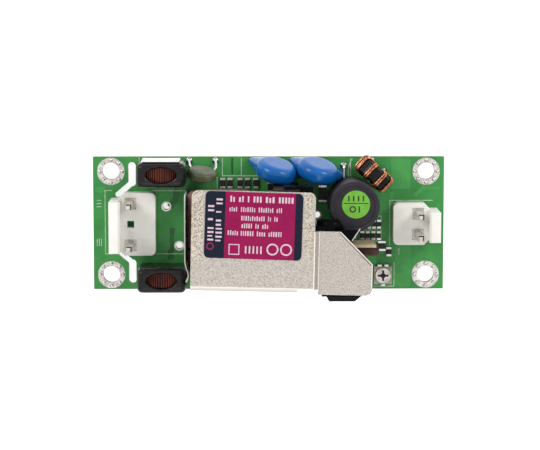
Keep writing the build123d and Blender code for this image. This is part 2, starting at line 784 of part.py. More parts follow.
# Insulating film: folded down on the north side, drooping out past the south edge
film_top = ledge_top - cover_thickness
with BuildPart() as insulation_film:
    panel_y = (film_north - film_flap_depth + film_south) / 2
    add_block(
        (film_west + film_east) / 2, panel_y, film_top - film_thickness, film_top,
        film_east - film_west, film_north - film_flap_depth - film_south,
    )
    flap_x = (film_flap_west + film_flap_east) / 2
    flap_length = film_flap_east - film_flap_west
    add_block(flap_x, film_north - film_flap_depth / 2, film_top - film_thickness, film_top, flap_length, film_flap_depth)
    add_block(flap_x, film_north - film_thickness / 2, film_flap_foot, film_top, flap_length, film_thickness)
    fall = radians(film_tail_slope)
    with BuildSketch(Plane(origin=(0, film_south, film_top), x_dir=(1, 0, 0), z_dir=(0, -sin(fall), cos(fall)))) as tail:
        with BuildLine():
            Polyline(
                (film_tail_top[0], 0), (film_tail_top[1], 0), (film_tail_end[1], -film_tail_length),
                (film_tail_end[0], -film_tail_length), close=True,
            )
        make_face()
    extrude(tail.sketch, amount=-film_thickness)
insulation_film.part.label = "insulation_film"
export_step(insulation_film.part, "parts/insulation_film.step")

with BuildPart() as barrier_sheet:
    with BuildSketch(Plane.XY.offset(board_top)) as barrier:
        with BuildLine() as barrier_path:
            straight = Line((barrier_x, barrier_north), (barrier_x, bulk_south + 0.8))
            bulge = TangentArc(straight @ 1, (barrier_x + 0.45, bulk_south - 1.3), tangent=straight % 1)
            TangentArc(bulge @ 1, (barrier_x + 0.2, bulk_south - 3.4), tangent=bulge % 1)
        trace(barrier_path.line, line_width=barrier_thickness)
    extrude(amount=barrier_height)
barrier_sheet.part.label = "barrier_sheet"
export_step(barrier_sheet.part, "parts/barrier_sheet.step")


def capacitor_can(frame, length, diameter):
    """Closed aluminium can with a rolled groove and a recess for the bung; its axis is the frame's y."""
    radius = diameter / 2 - can_sleeve
    with BuildSketch(frame) as profile:
        with BuildLine():
            Polyline(
                (radius - can_rim, 0), (radius, 0), (radius, can_groove_at),
                (radius - can_groove_depth, can_groove_at + can_groove_width / 2),
                (radius, can_groove_at + can_groove_width), (radius, length - can_edge),
                (radius - can_edge, length), (0, length), (0, bung_thickness),
                (radius - can_rim, bung_thickness), close=True,
            )
        make_face()
    revolve(profile.sketch, axis=Axis(frame.origin, frame.y_dir))


def capacitor_sleeve(frame, length, diameter):
    """Shrunk sleeve that follows the can's groove and laps over both ends."""
    radius = diameter / 2 - can_sleeve
    outer = diameter / 2
    with BuildSketch(frame) as profile:
        with BuildLine():
            Polyline(
                (radius - can_lip, -can_sleeve), (outer, -can_sleeve), (outer, can_groove_at),
                (outer - can_groove_depth, can_groove_at + can_groove_width / 2),
                (outer, can_groove_at + can_groove_width), (outer, length - can_edge),
                (radius - can_edge + can_sleeve / 2, length + can_sleeve),
                (radius - can_edge - can_lip, length + can_sleeve), (radius - can_edge - can_lip, length),
                (radius - can_edge, length), (radius, length - can_edge),
                (radius, can_groove_at + can_groove_width),
                (radius - can_groove_depth, can_groove_at + can_groove_width / 2), (radius, can_groove_at),
                (radius, 0), (radius - can_lip, 0), close=True,
            )
        make_face()
    revolve(profile.sketch, axis=Axis(frame.origin, frame.y_dir))


def capacitor_bung(frame, diameter):
    """Rubber bung flush with the can's rim."""
    with BuildSketch(frame) as profile:
        with BuildLine():
            rim = diameter / 2 - can_sleeve - can_rim
            Polyline((0, 0), (rim, 0), (rim, bung_thickness), (0, bung_thickness), close=True)
        make_face()
    revolve(profile.sketch, axis=Axis(frame.origin, frame.y_dir))


bulk_frame = Plane(origin=(bulk_x, bulk_south, bulk_z), x_dir=(1, 0, 0), z_dir=(0, 0, 1))
output_frame = Plane(origin=(output_west, output_y, output_z), x_dir=(0, 1, 0), z_dir=(0, 0, -1))
capacitors = (
    ("bulk_capacitor", bulk_frame, bulk_length, bulk_diameter, bulk_spots),
    ("output_capacitor", output_frame, output_length, output_diameter, output_spots),
)
for name, frame, length, diameter, spots in capacitors:
    with BuildPart() as can:
        capacitor_can(frame, length, diameter)
    can.part.label = f"{name}_can"
    export_step(can.part, f"parts/{name}_can.step")

    with BuildPart() as sleeve:
        capacitor_sleeve(frame, length, diameter)
    sleeve.part.label = f"{name}_sleeve"
    export_step(sleeve.part, f"parts/{name}_sleeve.step")

    with BuildPart() as bung:
        capacitor_bung(frame, diameter)
    bung.part.label = f"{name}_bung"
    export_step(bung.part, f"parts/{name}_bung.step")

    with BuildPart() as leads:
        for x, y in spots:
            exit_point = Vector(x, y, frame.origin.Z)
            reach = (frame.origin - exit_point).dot(frame.y_dir)
            start = exit_point + frame.y_dir * reach
            bend = min(0.8, reach * 0.6)
            add_wire([(start.X, start.Y, start.Z), (x, y, frame.origin.Z), (x, y, -lead_stub)], bend, lead_diameter)
    leads.part.label = f"{name}_leads"
    export_step(leads.part, f"parts/{name}_leads.step")

# Transformer: two E cores, an upright bobbin and a taped coil
core_bottom = board_top + core_rise
core_top = core_bottom + core_height
core_middle = (core_bottom + core_top) / 2
coil_bottom = core_bottom + core_yoke
coil_top = core_top - core_yoke
core_plane = Plane(origin=(core_x, core_y, 0), x_dir=(0, 1, 0), z_dir=(1, 0, 0))
for name, yoke_z, leg_end in (("lower", core_bottom, core_middle), ("upper", core_top, core_middle)):
    way = 1 if leg_end > yoke_z else -1
    with BuildPart() as core_half:
        with BuildSketch(core_plane):
            with Locations((0, (yoke_z + leg_end) / 2)):
                Rectangle(core_width, abs(leg_end - yoke_z))
            inner = core_centre_leg / 2
            outer = core_width / 2 - core_leg
            with Locations(*[(s * (inner + outer) / 2, (yoke_z + way * core_yoke + leg_end) / 2) for s in (1, -1)]):
                Rectangle(outer - inner, abs(leg_end - yoke_z) - core_yoke, mode=Mode.SUBTRACT)
        extrude(amount=core_depth / 2, both=True)
    core_half.part.label = f"transformer_core_{name}"
    export_step(core_half.part, f"parts/transformer_core_{name}.step")

tube_depth = core_depth + 0.1 + 2 * bobbin_wall
tube_width = core_centre_leg + 0.1 + 2 * bobbin_wall
with BuildPart() as transformer_bobbin:
    add_block(core_x, core_y, coil_bottom, coil_top, tube_depth, tube_width)
    for flange in (coil_bottom, coil_top - bobbin_wall):
        add_block(core_x, core_y, flange, flange + bobbin_wall, coil_depth, coil_width)
    for side in (1, -1):
        add_block(core_x + side * rail_offset, core_y, board_top, coil_bottom, rail_depth, rail_length)
    with BuildSketch(Plane.XY.offset(coil_bottom)) as bore:
        with Locations((core_x, core_y)):
            Rectangle(core_depth + 0.1, core_centre_leg + 0.1)
    extrude(bore.sketch, amount=coil_top - coil_bottom, mode=Mode.SUBTRACT)
    with BuildSketch(Plane.XY.offset(board_top)) as sockets:
        with Locations(*rail_spots):
            Circle(lead_diameter / 2)
    extrude(sockets.sketch, amount=rail_height / 2, mode=Mode.SUBTRACT)
transformer_bobbin.part.label = "transformer_bobbin"
export_step(transformer_bobbin.part, "parts/transformer_bobbin.step")

with BuildPart() as transformer_winding:
    with BuildSketch(Plane.XY.offset(coil_bottom + bobbin_wall)):
        with Locations((core_x, core_y)):
            RectangleRounded(coil_depth - 0.6, coil_width - 0.6, 2.2)
            Rectangle(tube_depth, tube_width, mode=Mode.SUBTRACT)
    extrude(amount=coil_top - coil_bottom - 2 * bobbin_wall)
transformer_winding.part.label = "transformer_winding"
export_step(transformer_winding.part, "parts/transformer_winding.step")

with BuildPart() as transformer_pins:
    for x, y in rail_spots:
        add_post(x, y, -lead_stub, board_top + rail_height / 2, lead_diameter)
transformer_pins.part.label = "transformer_pins"
export_step(transformer_pins.part, "parts/transformer_pins.step")

# Power transistor, its metal back flat on the cover's south wall, and the rectifier, its back to the north
for name, base, x, face, way, bottom in transistors:
    body_thickness = transistor_thickness - transistor_tab_thickness
    with BuildPart() as package:
        with BuildSketch(base.offset(bottom)):
            with Locations((x, face + way * (transistor_tab_thickness + body_thickness / 2))):
                Rectangle(transistor_width, body_thickness)
        extrude(amount=transistor_height)
        outer = package.faces().sort_by(Axis((0, 0, 0), base.y_dir * way))[-1]
        chamfer(outer.edges(), transistor_chamfer)
    package.part.label = name
    export_step(package.part, f"parts/{name}.step")

    with BuildPart() as tab:
        with BuildSketch(base.offset(bottom)):
            with Locations((x, face + way * transistor_tab_thickness / 2)):
                Rectangle(transistor_width - 2 * transistor_tab_inset, transistor_tab_thickness)
        extrude(amount=transistor_height + transistor_tab)
        with BuildSketch(base.offset(-lead_stub)):
            with Locations(*[(x + n * transistor_pitch, face + way * transistor_thickness / 2) for n in (-1, 0, 1)]):
                Rectangle(lead_diameter / sqrt(2), lead_diameter / sqrt(2))
        extrude(amount=bottom + lead_stub)
    tab.part.label = f"{name}_tab"
    export_step(tab.part, f"parts/{name}_tab.step")

# Chips on the top side, long side north to south
chips = (
    [(x, control_row_y, small_chip_width, small_chip_length) for x in control_chips]
    + [(x, start_row_y, small_chip_width, small_chip_length) for x in start_chips]
    + [(x, feedback_row_y, feedback_chip_width, feedback_chip_length) for x in feedback_chips]
    + [(x, sense_row_y, feedback_chip_width, feedback_chip_length) for x in sense_chips]
    + [(link_chip_x, link_chip_y, link_chip_width, link_chip_length)]
    + divider_chips
)
with BuildPart() as chip_bodies:
    for x, y, width, length in chips:
        add_block(x, y, board_top, board_top + chip_height, width, length - 2 * chip_terminal)
chip_bodies.part.label = "chip_bodies"
export_step(chip_bodies.part, "parts/chip_bodies.step")

with BuildPart() as chip_terminals:
    for x, y, width, length in chips:
        for s in (1, -1):
            end = y + s * (length - chip_terminal) / 2
            add_block(x, end, board_top, board_top + chip_height, width, chip_terminal)
chip_terminals.part.label = "chip_terminals"
export_step(chip_terminals.part, "parts/chip_terminals.step")

# Trimmer: a square ceramic base, its soldered ends and a rotor that turns on a pivot
trimmer_top = board_top + trimmer_body
with BuildPart() as trimmer_base:
    add_block(trimmer_x, trimmer_y, board_top, trimmer_top, trimmer_width, trimmer_length - 2 * trimmer_lead)
    with BuildSketch(Plane.XY.offset(trimmer_top)) as pivot_hole:
        with Locations((trimmer_x, trimmer_y)):
            Circle(trimmer_pivot_diameter / 2 + trimmer_clearance)
    extrude(pivot_hole.sketch, amount=-trimmer_body * 0.8, mode=Mode.SUBTRACT)
trimmer_base.part.label = "trimmer_base"
export_step(trimmer_base.part, "parts/trimmer_base.step")

with BuildPart() as trimmer_terminals:
    for s in (1, -1):
        end = trimmer_y + s * (trimmer_length - trimmer_lead) / 2
        for x in ((trimmer_x - trimmer_pad / 2, trimmer_x + trimmer_pad / 2) if s > 0 else (trimmer_x,)):
            add_block(x, end, board_top, trimmer_top, 0.8, trimmer_lead)
trimmer_terminals.part.label = "trimmer_terminals"
export_step(trimmer_terminals.part, "parts/trimmer_terminals.step")

rotor_bottom = trimmer_top + trimmer_gap
with BuildPart() as trimmer_rotor:
    add_post(trimmer_x, trimmer_y, rotor_bottom, rotor_bottom + trimmer_rotor_height, trimmer_rotor_diameter)
    add_post(trimmer_x, trimmer_y, trimmer_top - trimmer_body * 0.7, rotor_bottom, trimmer_pivot_diameter)
    with BuildSketch(Plane.XY.offset(rotor_bottom + trimmer_rotor_height)) as cross:
        with Locations((trimmer_x, trimmer_y)):
            Rectangle(trimmer_rotor_diameter * 0.7, trimmer_slot)
            Rectangle(trimmer_slot, trimmer_rotor_diameter * 0.7)
    extrude(cross.sketch, amount=-trimmer_slot_depth, mode=Mode.SUBTRACT)
trimmer_rotor.part.label = "trimmer_rotor"
export_step(trimmer_rotor.part, "parts/trimmer_rotor.step")

# Underside packages: body size, place, the number of leads on each long side, their pitch and width,
# and the turn that sets those leads across the insulation gap or along it
packages = {
    "bridge_rectifier": (bridge_x, bridge_y, 4.7, 3.9, 1.4, 2, 2.5, 0.6, 0),
    "controller_ic": (controller_x, controller_y, 4.9, 3.9, 1.4, 4, 1.27, 0.42, 0),
    "optocoupler": (optocoupler_x, optocoupler_y, 3.6, 4.4, 1.9, 2, 2.54, 0.5, 90),
}


def gull_lead(foot_frame, drop, width):
    """One flat lead: out of the body at half its height, up to the board and flat on its pad."""
    with BuildSketch(foot_frame) as strip:
        with BuildLine():
            low = -drop - gull_thickness / 2
            high = -drop + gull_thickness / 2
            riser = gull_run + gull_thickness
            Polyline(
                (0, low), (riser, low), (riser, -gull_thickness), (gull_run + gull_foot, -gull_thickness),
                (gull_run + gull_foot, 0), (gull_run, 0), (gull_run, high), (0, high), close=True,
            )
        make_face()
        bends = [(riser, low), (gull_run, 0)]
        corners = [strip.vertices().sort_by_distance(Vector(*c, 0))[0] for c in bends]
        fillet(corners, gull_bend)
    extrude(strip.sketch, amount=width / 2, both=True)


for name, (x, y, length, width, height, leads, pitch, lead_width, turn) in packages.items():
    middle = (package_standoff + height) / 2
    with BuildPart() as package:
        for way in (1, -1):
            with BuildSketch(Plane.XY.offset(-middle)) as half:
                with Locations(Location((x, y, 0), turn)):
                    Rectangle(length, width)
            extrude(half.sketch, amount=way * (height - middle), taper=package_draft)
        seat = Location((x, y, 0), turn) * Location((pitch / 2 - length / 2, pitch / 2 - width / 2, 0))
        with BuildSketch(Plane.XY.offset(-height)) as pin_mark:
            with Locations(seat):
                Circle(package_pin_mark / 2)
        extrude(pin_mark.sketch, amount=gull_thickness / 2, mode=Mode.SUBTRACT)
    package.part.label = name
    export_step(package.part, f"parts/{name}.step")

# Ceramic body of the fuse between its two end caps
with BuildPart() as input_fuse:
    with BuildSketch():
        with Locations((fuse_x, fuse_y)):
            Rectangle(fuse_body - 2 * fuse_cap, fuse_width - 0.1)
    extrude(amount=0.05 - fuse_height)
input_fuse.part.label = "input_fuse"
export_step(input_fuse.part, "parts/input_fuse.step")

with BuildPart() as surface_leads:
    for x, y, length, width, height, leads, pitch, lead_width, turn in packages.values():
        for s in (1, -1):
            for n in range(leads):
                seat = Location((x, y, 0), turn) * Location(((n - (leads - 1) / 2) * pitch, s * width / 2, 0))
                heading = Vector(-s * sin(radians(turn)), s * cos(radians(turn)), 0)
                frame = Plane(origin=seat.position, x_dir=heading, z_dir=heading.cross(Vector(0, 0, 1)))
                gull_lead(frame, (package_standoff + height) / 2, lead_width)
    with BuildSketch() as caps:
        with Locations(*[(fuse_x + s * (fuse_body - fuse_cap) / 2, fuse_y) for s in (1, -1)]):
            Rectangle(fuse_cap, fuse_width)
    extrude(caps.sketch, amount=-fuse_height)
surface_leads.part.label = "surface_leads"
export_step(surface_leads.part, "parts/surface_leads.step")

# Solder fillets under the board round every lead that passes through it
with BuildPart() as solder_joints:
    above = (Align.CENTER, Align.CENTER, Align.MAX)
    with Locations(*thin_spots):
        Cone(lead_diameter / 2 + 0.1, solder_diameter / 2, solder_height, align=above)
        Cylinder(lead_diameter / 2, solder_height, align=above, mode=Mode.SUBTRACT)
    with Locations(*ac_pin_spots, *dc_pin_spots):
        Cone(pin_size / 2 + 0.3, solder_diameter, solder_height, align=above)
        Box(pin_size, pin_size, solder_height, align=above, mode=Mode.SUBTRACT)
solder_joints.part.label = "solder_joints"
export_step(solder_joints.part, "parts/solder_joints.step")
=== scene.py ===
import math
import random

import bmesh
import bpy
from mathutils import Matrix, Vector


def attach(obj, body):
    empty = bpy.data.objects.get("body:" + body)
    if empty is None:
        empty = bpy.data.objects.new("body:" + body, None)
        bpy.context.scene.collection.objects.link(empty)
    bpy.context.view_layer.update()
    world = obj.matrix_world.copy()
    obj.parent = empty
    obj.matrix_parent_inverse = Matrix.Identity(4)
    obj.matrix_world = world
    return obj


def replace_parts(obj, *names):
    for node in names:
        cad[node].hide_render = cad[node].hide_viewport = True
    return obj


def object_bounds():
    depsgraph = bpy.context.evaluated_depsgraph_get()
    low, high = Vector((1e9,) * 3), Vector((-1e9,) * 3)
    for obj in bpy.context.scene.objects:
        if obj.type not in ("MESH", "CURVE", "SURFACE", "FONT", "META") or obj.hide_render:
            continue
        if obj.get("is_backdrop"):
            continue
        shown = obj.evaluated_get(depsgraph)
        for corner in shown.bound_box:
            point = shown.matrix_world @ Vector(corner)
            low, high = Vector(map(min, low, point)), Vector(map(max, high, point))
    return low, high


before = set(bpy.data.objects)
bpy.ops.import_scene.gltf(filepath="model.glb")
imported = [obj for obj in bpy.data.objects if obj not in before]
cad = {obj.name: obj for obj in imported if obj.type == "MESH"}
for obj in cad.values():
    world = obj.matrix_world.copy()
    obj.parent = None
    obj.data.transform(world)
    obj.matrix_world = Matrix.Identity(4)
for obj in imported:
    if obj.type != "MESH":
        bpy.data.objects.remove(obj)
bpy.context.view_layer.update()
mm = 0.001
body = "supply"
boardTop = 1.6
leadEnd = -2.2
sunk = 0.01  # print and marks stand this deep in the face below them
weldReach = 0.0005 * mm
print("frame loaded:", len(cad), "CAD nodes")


# Nodes
def choose(thing, **settings):
    # sets properties of a node, modifier, curve, lamp or camera
    for key, value in settings.items():
        setattr(thing, key, value)
    return thing


def feed(node, values):
    # a socket of another node is linked, any other value is set
    for key, value in values.items():
        if isinstance(value, bpy.types.NodeSocket):
            node.id_data.links.new(value, node.inputs[key])
        else:
            node.inputs[key].default_value = value
    return node


def addNode(tree, kind, values=None, **settings):
    return feed(choose(tree.nodes.new(kind), **settings), values or {})


def outOf(tree, kind, values=None, **settings):
    return addNode(tree, kind, values, **settings).outputs[0]


def mathOf(tree, operation, *values):
    return outOf(tree, "ShaderNodeMath", dict(enumerate(values)), operation=operation)


# Colour and finish
def tone(red, green, blue):
    def linear(v):
        v = v / 255
        return v / 12.92 if v <= 0.04045 else ((v + 0.055) / 1.055) ** 2.4

    return (linear(red), linear(green), linear(blue), 1.0)


def placeIn(tree):
    return tree.nodes.new("ShaderNodeTexCoord").outputs["Object"]


def facingIn(tree):
    # the surface's normal, split into its axes
    normal = tree.nodes.new("ShaderNodeNewGeometry").outputs["Normal"]
    return addNode(tree, "ShaderNodeSeparateXYZ", {"Vector": normal}).outputs


def noiseAt(tree, vector, size, detail=3.0, stretch=None):
    # size is the width of one blotch in mm; stretch draws it out along an axis
    if stretch:
        vector = addNode(tree, "ShaderNodeMapping", {"Vector": vector, "Scale": stretch}).outputs["Vector"]
    values = {"Vector": vector, "Scale": 1 / (size * mm), "Detail": detail, "Roughness": 0.55}
    return addNode(tree, "ShaderNodeTexNoise", values).outputs["Fac"]


def rampOf(tree, fac, low, high, start=0.35, end=0.65):
    ramp = addNode(tree, "ShaderNodeValToRGB", {"Fac": fac})
    choose(ramp.color_ramp.elements[0], position=start, color=low)
    choose(ramp.color_ramp.elements[1], position=end, color=high)
    return ramp.outputs["Color"]


def mixOf(tree, fac, first, second):
    # 6 and 7 are the sockets of the two colours, and 2 gives the mixed one
    mix = addNode(tree, "ShaderNodeMix", {"Factor": fac, 6: first, 7: second}, data_type="RGBA")
    return mix.outputs[2]


def overlaid(material, mask, over):
    # lays a colour over the finish where the mask is 1
    tree = material.node_tree
    shader = tree.nodes["Principled BSDF"]
    before = shader.inputs["Base Color"].links[0].from_socket
    return feed(shader, {"Base Color": mixOf(tree, mask, before, over)})


def lookOf(colour, shade, patch, rough, relief, grain, **more):
    # two tones and the size of their patches, the range of roughness, the relief's height and grain, in mm
    return dict(colour=colour, shade=shade, patch=patch, rough=rough, relief=relief, grain=grain, **more)


def finishOf(name, look):
    # one shader for every finish: two tones in soft patches, a roughness that wanders and a fine relief
    material = choose(bpy.data.materials.new(name), use_nodes=True)
    tree = material.node_tree
    place = placeIn(tree)
    stretch = look.get("stretch")
    patches = noiseAt(tree, place, look["patch"], stretch=stretch)
    wander = noiseAt(tree, place, look.get("roughSize", 1.2), stretch=stretch)
    grain = noiseAt(tree, place, look["grain"], look.get("reliefDetail", 3.0), stretch)
    least, most = look["rough"]
    rough = {"Value": wander, "From Min": 0.3, "From Max": 0.7, "To Min": least, "To Max": most}
    relief = {"Height": grain, "Strength": 0.6, "Distance": look["relief"] * mm}
    start, end = look.get("spread", (0.3, 0.62))
    shader = feed(tree.nodes["Principled BSDF"], {
        "Base Color": rampOf(tree, patches, tone(*look["shade"]), tone(*look["colour"]), start, end),
        "Roughness": addNode(tree, "ShaderNodeMapRange", rough).outputs["Result"],
        "Normal": addNode(tree, "ShaderNodeBump", relief).outputs["Normal"],
        "Metallic": look.get("metal", 0.0),
        "Specular IOR Level": look.get("specular", 0.5),
        "Coat Weight": look.get("coat", 0.0),
        "Coat Roughness": 0.1,
    })
    if "glow" in look:  # light that soaks into the plastic or the coating
        feed(shader, {
            "Subsurface Weight": look["glow"],
            "Subsurface Radius": (1.0, 0.9, 0.75),
            "Subsurface Scale": look.get("glowDepth", 0.6) * mm,
        })
    return material


# Making pieces
def addObject(name, data):
    made = bpy.data.objects.new(name, data)
    bpy.context.scene.collection.objects.link(made)
    return made


def settled(holder):
    # a plain mesh of the object with its modifiers; the object itself goes
    mesh = bpy.data.meshes.new_from_object(holder.evaluated_get(bpy.context.evaluated_depsgraph_get()))
    bpy.data.objects.remove(holder)
    return mesh


def modify(piece, kind, **settings):
    return choose(piece.modifiers.new(kind.lower(), kind), **settings)


def meshFrom(bm, name, recalc=True):
    if recalc:
        bmesh.ops.recalc_face_normals(bm, faces=bm.faces)
    mesh = bpy.data.meshes.new(name)
    bm.to_mesh(mesh)
    bm.free()
    return mesh


def newPiece(name, shape, material, smooth=False, rides=body):
    # the shape is a mesh or a bmesh; smooth None leaves its shading as it is
    mesh = meshFrom(shape, name) if isinstance(shape, bmesh.types.BMesh) else shape
    mesh.materials.clear()
    mesh.materials.append(material)
    piece = addObject(name, mesh)
    if smooth is not None:
        for face in mesh.polygons:
            face.use_smooth = smooth
    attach(piece, rides)
    return piece


def addSlab(bm, outline, bottom, top):
    # a flat plate from an outline in mm, closed all round
    low = [bm.verts.new(Vector((x, y, bottom)) * mm) for x, y in outline]
    high = [bm.verts.new(Vector((x, y, top)) * mm) for x, y in outline]
    bm.faces.new(high)
    bm.faces.new(list(reversed(low)))
    for n in range(len(outline)):
        m = (n + 1) % len(outline)
        bm.faces.new((low[n], low[m], high[m], high[n]))


def addBox(bm, west, south, east, north, bottom, top):
    addSlab(bm, [(west, south), (east, south), (east, north), (west, north)], bottom, top)


def addStroke(bm, start, end, width, bottom, top):
    # a straight line with square ends that reach half its width past its points
    a, b = Vector(start), Vector(end)
    way = (b - a).normalized() * width / 2
    side = Vector((-way.y, way.x))
    addSlab(bm, [a - way + side * -1, b + way - side, b + way + side, a - way + side], bottom, top)


def addRibbon(bm, points, width, bottom, top):
    # a line of even width through all the points, mitred at its corners
    left, right = [], []
    line = [Vector(p) for p in points]
    for n, point in enumerate(line):
        before = (point - line[n - 1]).normalized() if n > 0 else None
        after = (line[n + 1] - point).normalized() if n < len(line) - 1 else None
        way = (before or after) if not (before and after) else (before + after).normalized()
        side = Vector((-way.y, way.x))
        reach = width / 2 / max(0.5, side.dot(Vector((-(after or before).y, (after or before).x))))
        left.append(point + side * reach)
        right.append(point - side * reach)
    addSlab(bm, list(reversed(left)) + right, bottom, top)


def addRing(bm, centre, inner, outer, bottom, top, steps=32, start=0.0, sweep=math.tau):
    # a flat ring or an arc of one
    whole = abs(sweep - math.tau) < 1e-6
    count = steps if whole else steps + 1
    rows = []
    for n in range(count):
        a = start + sweep * n / steps
        c, s = math.cos(a), math.sin(a)
        section = ((inner, bottom), (outer, bottom), (outer, top), (inner, top))
        rows.append([bm.verts.new(Vector((centre[0] + r * c, centre[1] + r * s, z)) * mm) for r, z in section])
    for n in range(steps):
        one, two = rows[n], rows[(n + 1) % count]
        for k in range(4):
            bm.faces.new((one[k], two[k], two[(k + 1) % 4], one[(k + 1) % 4]))
    if not whole:
        bm.faces.new(rows[0])
        bm.faces.new(list(reversed(rows[-1])))


def wireMesh(points, diameter, name):
    # a round wire on a smooth line through the points
    curve = choose(bpy.data.curves.new(name, "CURVE"), dimensions="3D", use_fill_caps=True, resolution_u=6)
    choose(curve, bevel_depth=diameter / 2 * mm, bevel_resolution=3)
    line = curve.splines.new("NURBS")
    line.points.add(len(points) - 1)
    for point, place in zip(line.points, points):
        point.co = (*(Vector(place) * mm), 1.0)
    choose(line, order_u=3, use_endpoint_u=True)
    return settled(addObject(name, curve))


def joined(meshes):
    bm = bmesh.new()
    for mesh in meshes:
        bm.from_mesh(mesh)
    bmesh.ops.remove_doubles(bm, verts=bm.verts, dist=1e-7)
    return bm


def dressed(node, material):
    # a CAD node keeps its form and gets its finish
    slots = cad[node].data.materials
    if len(slots) == 0:
        slots.append(material)
    for n in range(len(slots)):
        slots[n] = material


rounding = {"terminal": 0.04, "header": 0.16, "core": 0.5, "cover": 0.09}  # of hard edges, in mm


def softened(node, material, width, segments=2):
    # a CAD node with its hard edges rounded a little
    dressed(node, material)
    mesh = cad[node].data
    if "custom_normal" in mesh.attributes:
        mesh.attributes.remove(mesh.attributes["custom_normal"])
    for face in mesh.polygons:
        face.use_smooth = True
    for edge in mesh.edges:
        edge.use_edge_sharp = False
    modify(cad[node], "WELD", merge_threshold=weldReach)
    bevel = modify(cad[node], "BEVEL", width=width * mm, segments=segments, limit_method="ANGLE")
    choose(bevel, angle_limit=math.radians(38), harden_normals=True)


def addHull(bm, corners):
    # the closed skin round a set of points
    points = [bm.verts.new(corner) for corner in corners]
    made = bmesh.ops.convex_hull(bm, input=points)
    spare = {v for v in made["geom_interior"] + made["geom_unused"] if isinstance(v, bmesh.types.BMVert)}
    bmesh.ops.delete(bm, geom=[v for v in points if v in spare], context="VERTS")


def weldedForm(node):
    bm = bmesh.new()
    bm.from_mesh(cad[node].data)
    bmesh.ops.remove_doubles(bm, verts=bm.verts, dist=weldReach)
    return bm


def dipped(node, name, material, look, feet=()):
    # a coating that has run smooth over the form and down its leads; each foot is a place in mm and a radius
    bm = weldedForm(node)
    form = [v.co.copy() for v in bm.verts]
    high = max(v.z for v in form)
    form = [v for v in form if v.z > high * 0.3]
    middle = sum(form, Vector()) / len(form)
    turns = [math.tau * n / 12 for n in range(12)]
    for place, radius in feet:
        foot = Vector(place) * mm
        ring = [foot + Vector((math.cos(a), math.sin(a), z)) * radius * mm for a in turns for z in (-0.6, 0.6)]
        addHull(bm, [middle + (v - middle) * look["share"] for v in form] + ring)
    holder = addObject(name, meshFrom(bm, name, recalc=False))
    modify(holder, "REMESH", mode="VOXEL", voxel_size=look["voxel"] * mm)
    modify(holder, "SMOOTH", factor=0.5, iterations=look["smoothing"])
    if "swell" in look:
        modify(holder, "DISPLACE", mid_level=0.0, strength=look["swell"] * mm)
    result = settled(holder)
    if "squash" in look:
        # pressed flatter along Y about its own middle, and moved a little
        moved = Matrix.Translation(middle + Vector(look["shift"]) * mm)
        result.transform(moved @ Matrix.Diagonal((*look["squash"], 1)) @ Matrix.Translation(-middle))
    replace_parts(newPiece(name, result, material, smooth=True), node)


def shortened(node, name, material, fixed, share):
    # the CAD form drawn in along Y towards its fixed end
    mesh = cad[node].data.copy()
    end = Vector((0, fixed * mm, 0))
    mesh.transform(Matrix.Translation(end) @ Matrix.Diagonal((1, share, 1, 1)) @ Matrix.Translation(-end))
    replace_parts(newPiece(name, mesh, material, smooth=None), node)


def trimmed(node, name, material, outline, low, high):
    # the CAD form with an upright prism cut away from it
    holder = addObject(name, meshFrom(weldedForm(node), name, recalc=False))
    bm = bmesh.new()
    addSlab(bm, outline, low, high)
    cutter = addObject(name + "Cutter", meshFrom(bm, name + "Cutter"))
    modify(holder, "BOOLEAN", operation="DIFFERENCE", solver="EXACT", object=cutter)
    result = settled(holder)
    bpy.data.objects.remove(cutter)
    piece = newPiece(name, result, material, smooth=True)
    result.set_sharp_from_angle(angle=math.radians(30))
    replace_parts(piece, node)


# Geometry node trees
def newTree(name, lengths, counts=()):
    tree = bpy.data.node_groups.new(name, "GeometryNodeTree")
    inputs = [("Geometry", "Geometry"), *((label, "Float") for label in lengths)]
    inputs += [*((label, "Int") for label in counts), ("Material", "Material")]
    for label, kind in inputs:
        tree.interface.new_socket(label, in_out="INPUT", socket_type="NodeSocket" + kind)
    tree.interface.new_socket("Geometry", in_out="OUTPUT", socket_type="NodeSocketGeometry")
    return tree, tree.nodes.new("NodeGroupInput").outputs


def vectorOf(tree, **axes):
    return outOf(tree, "ShaderNodeCombineXYZ", axes)


def onPoints(tree, points, instance, **values):
    return outOf(tree, "GeometryNodeInstanceOnPoints", {"Points": points, "Instance": instance, **values})


def closeTree(tree, geometry, material):
    real = outOf(tree, "GeometryNodeRealizeInstances", {"Geometry": geometry})
    painted = outOf(tree, "GeometryNodeSetMaterial", {"Geometry": real, "Material": material})
    addNode(tree, "NodeGroupOutput", {"Geometry": painted})
    return tree


def grown(name, tree, look, material, places, turn=None, **attributes):
    # runs a tree on bare points, in mm, and keeps the result as a plain mesh
    seed = bpy.data.meshes.new(name)
    seed.from_pydata([Vector(p) * mm for p in places], [], [])
    for key, values in attributes.items():
        seed.attributes.new(key, "FLOAT", "POINT").data.foreach_set("value", values)
    holder = addObject(name, seed)
    modifier = modify(holder, "NODES", node_group=tree)
    settings = {**look, "Material": material}
    for item in tree.interface.items_tree:
        if item.item_type == "SOCKET" and item.in_out == "INPUT" and item.name in settings:
            value = settings[item.name]  # lengths are in mm
            modifier[item.identifier] = value * mm if item.socket_type == "NodeSocketFloat" else value
    mesh = settled(holder)
    if turn:
        mesh.transform(turn)
    return mesh


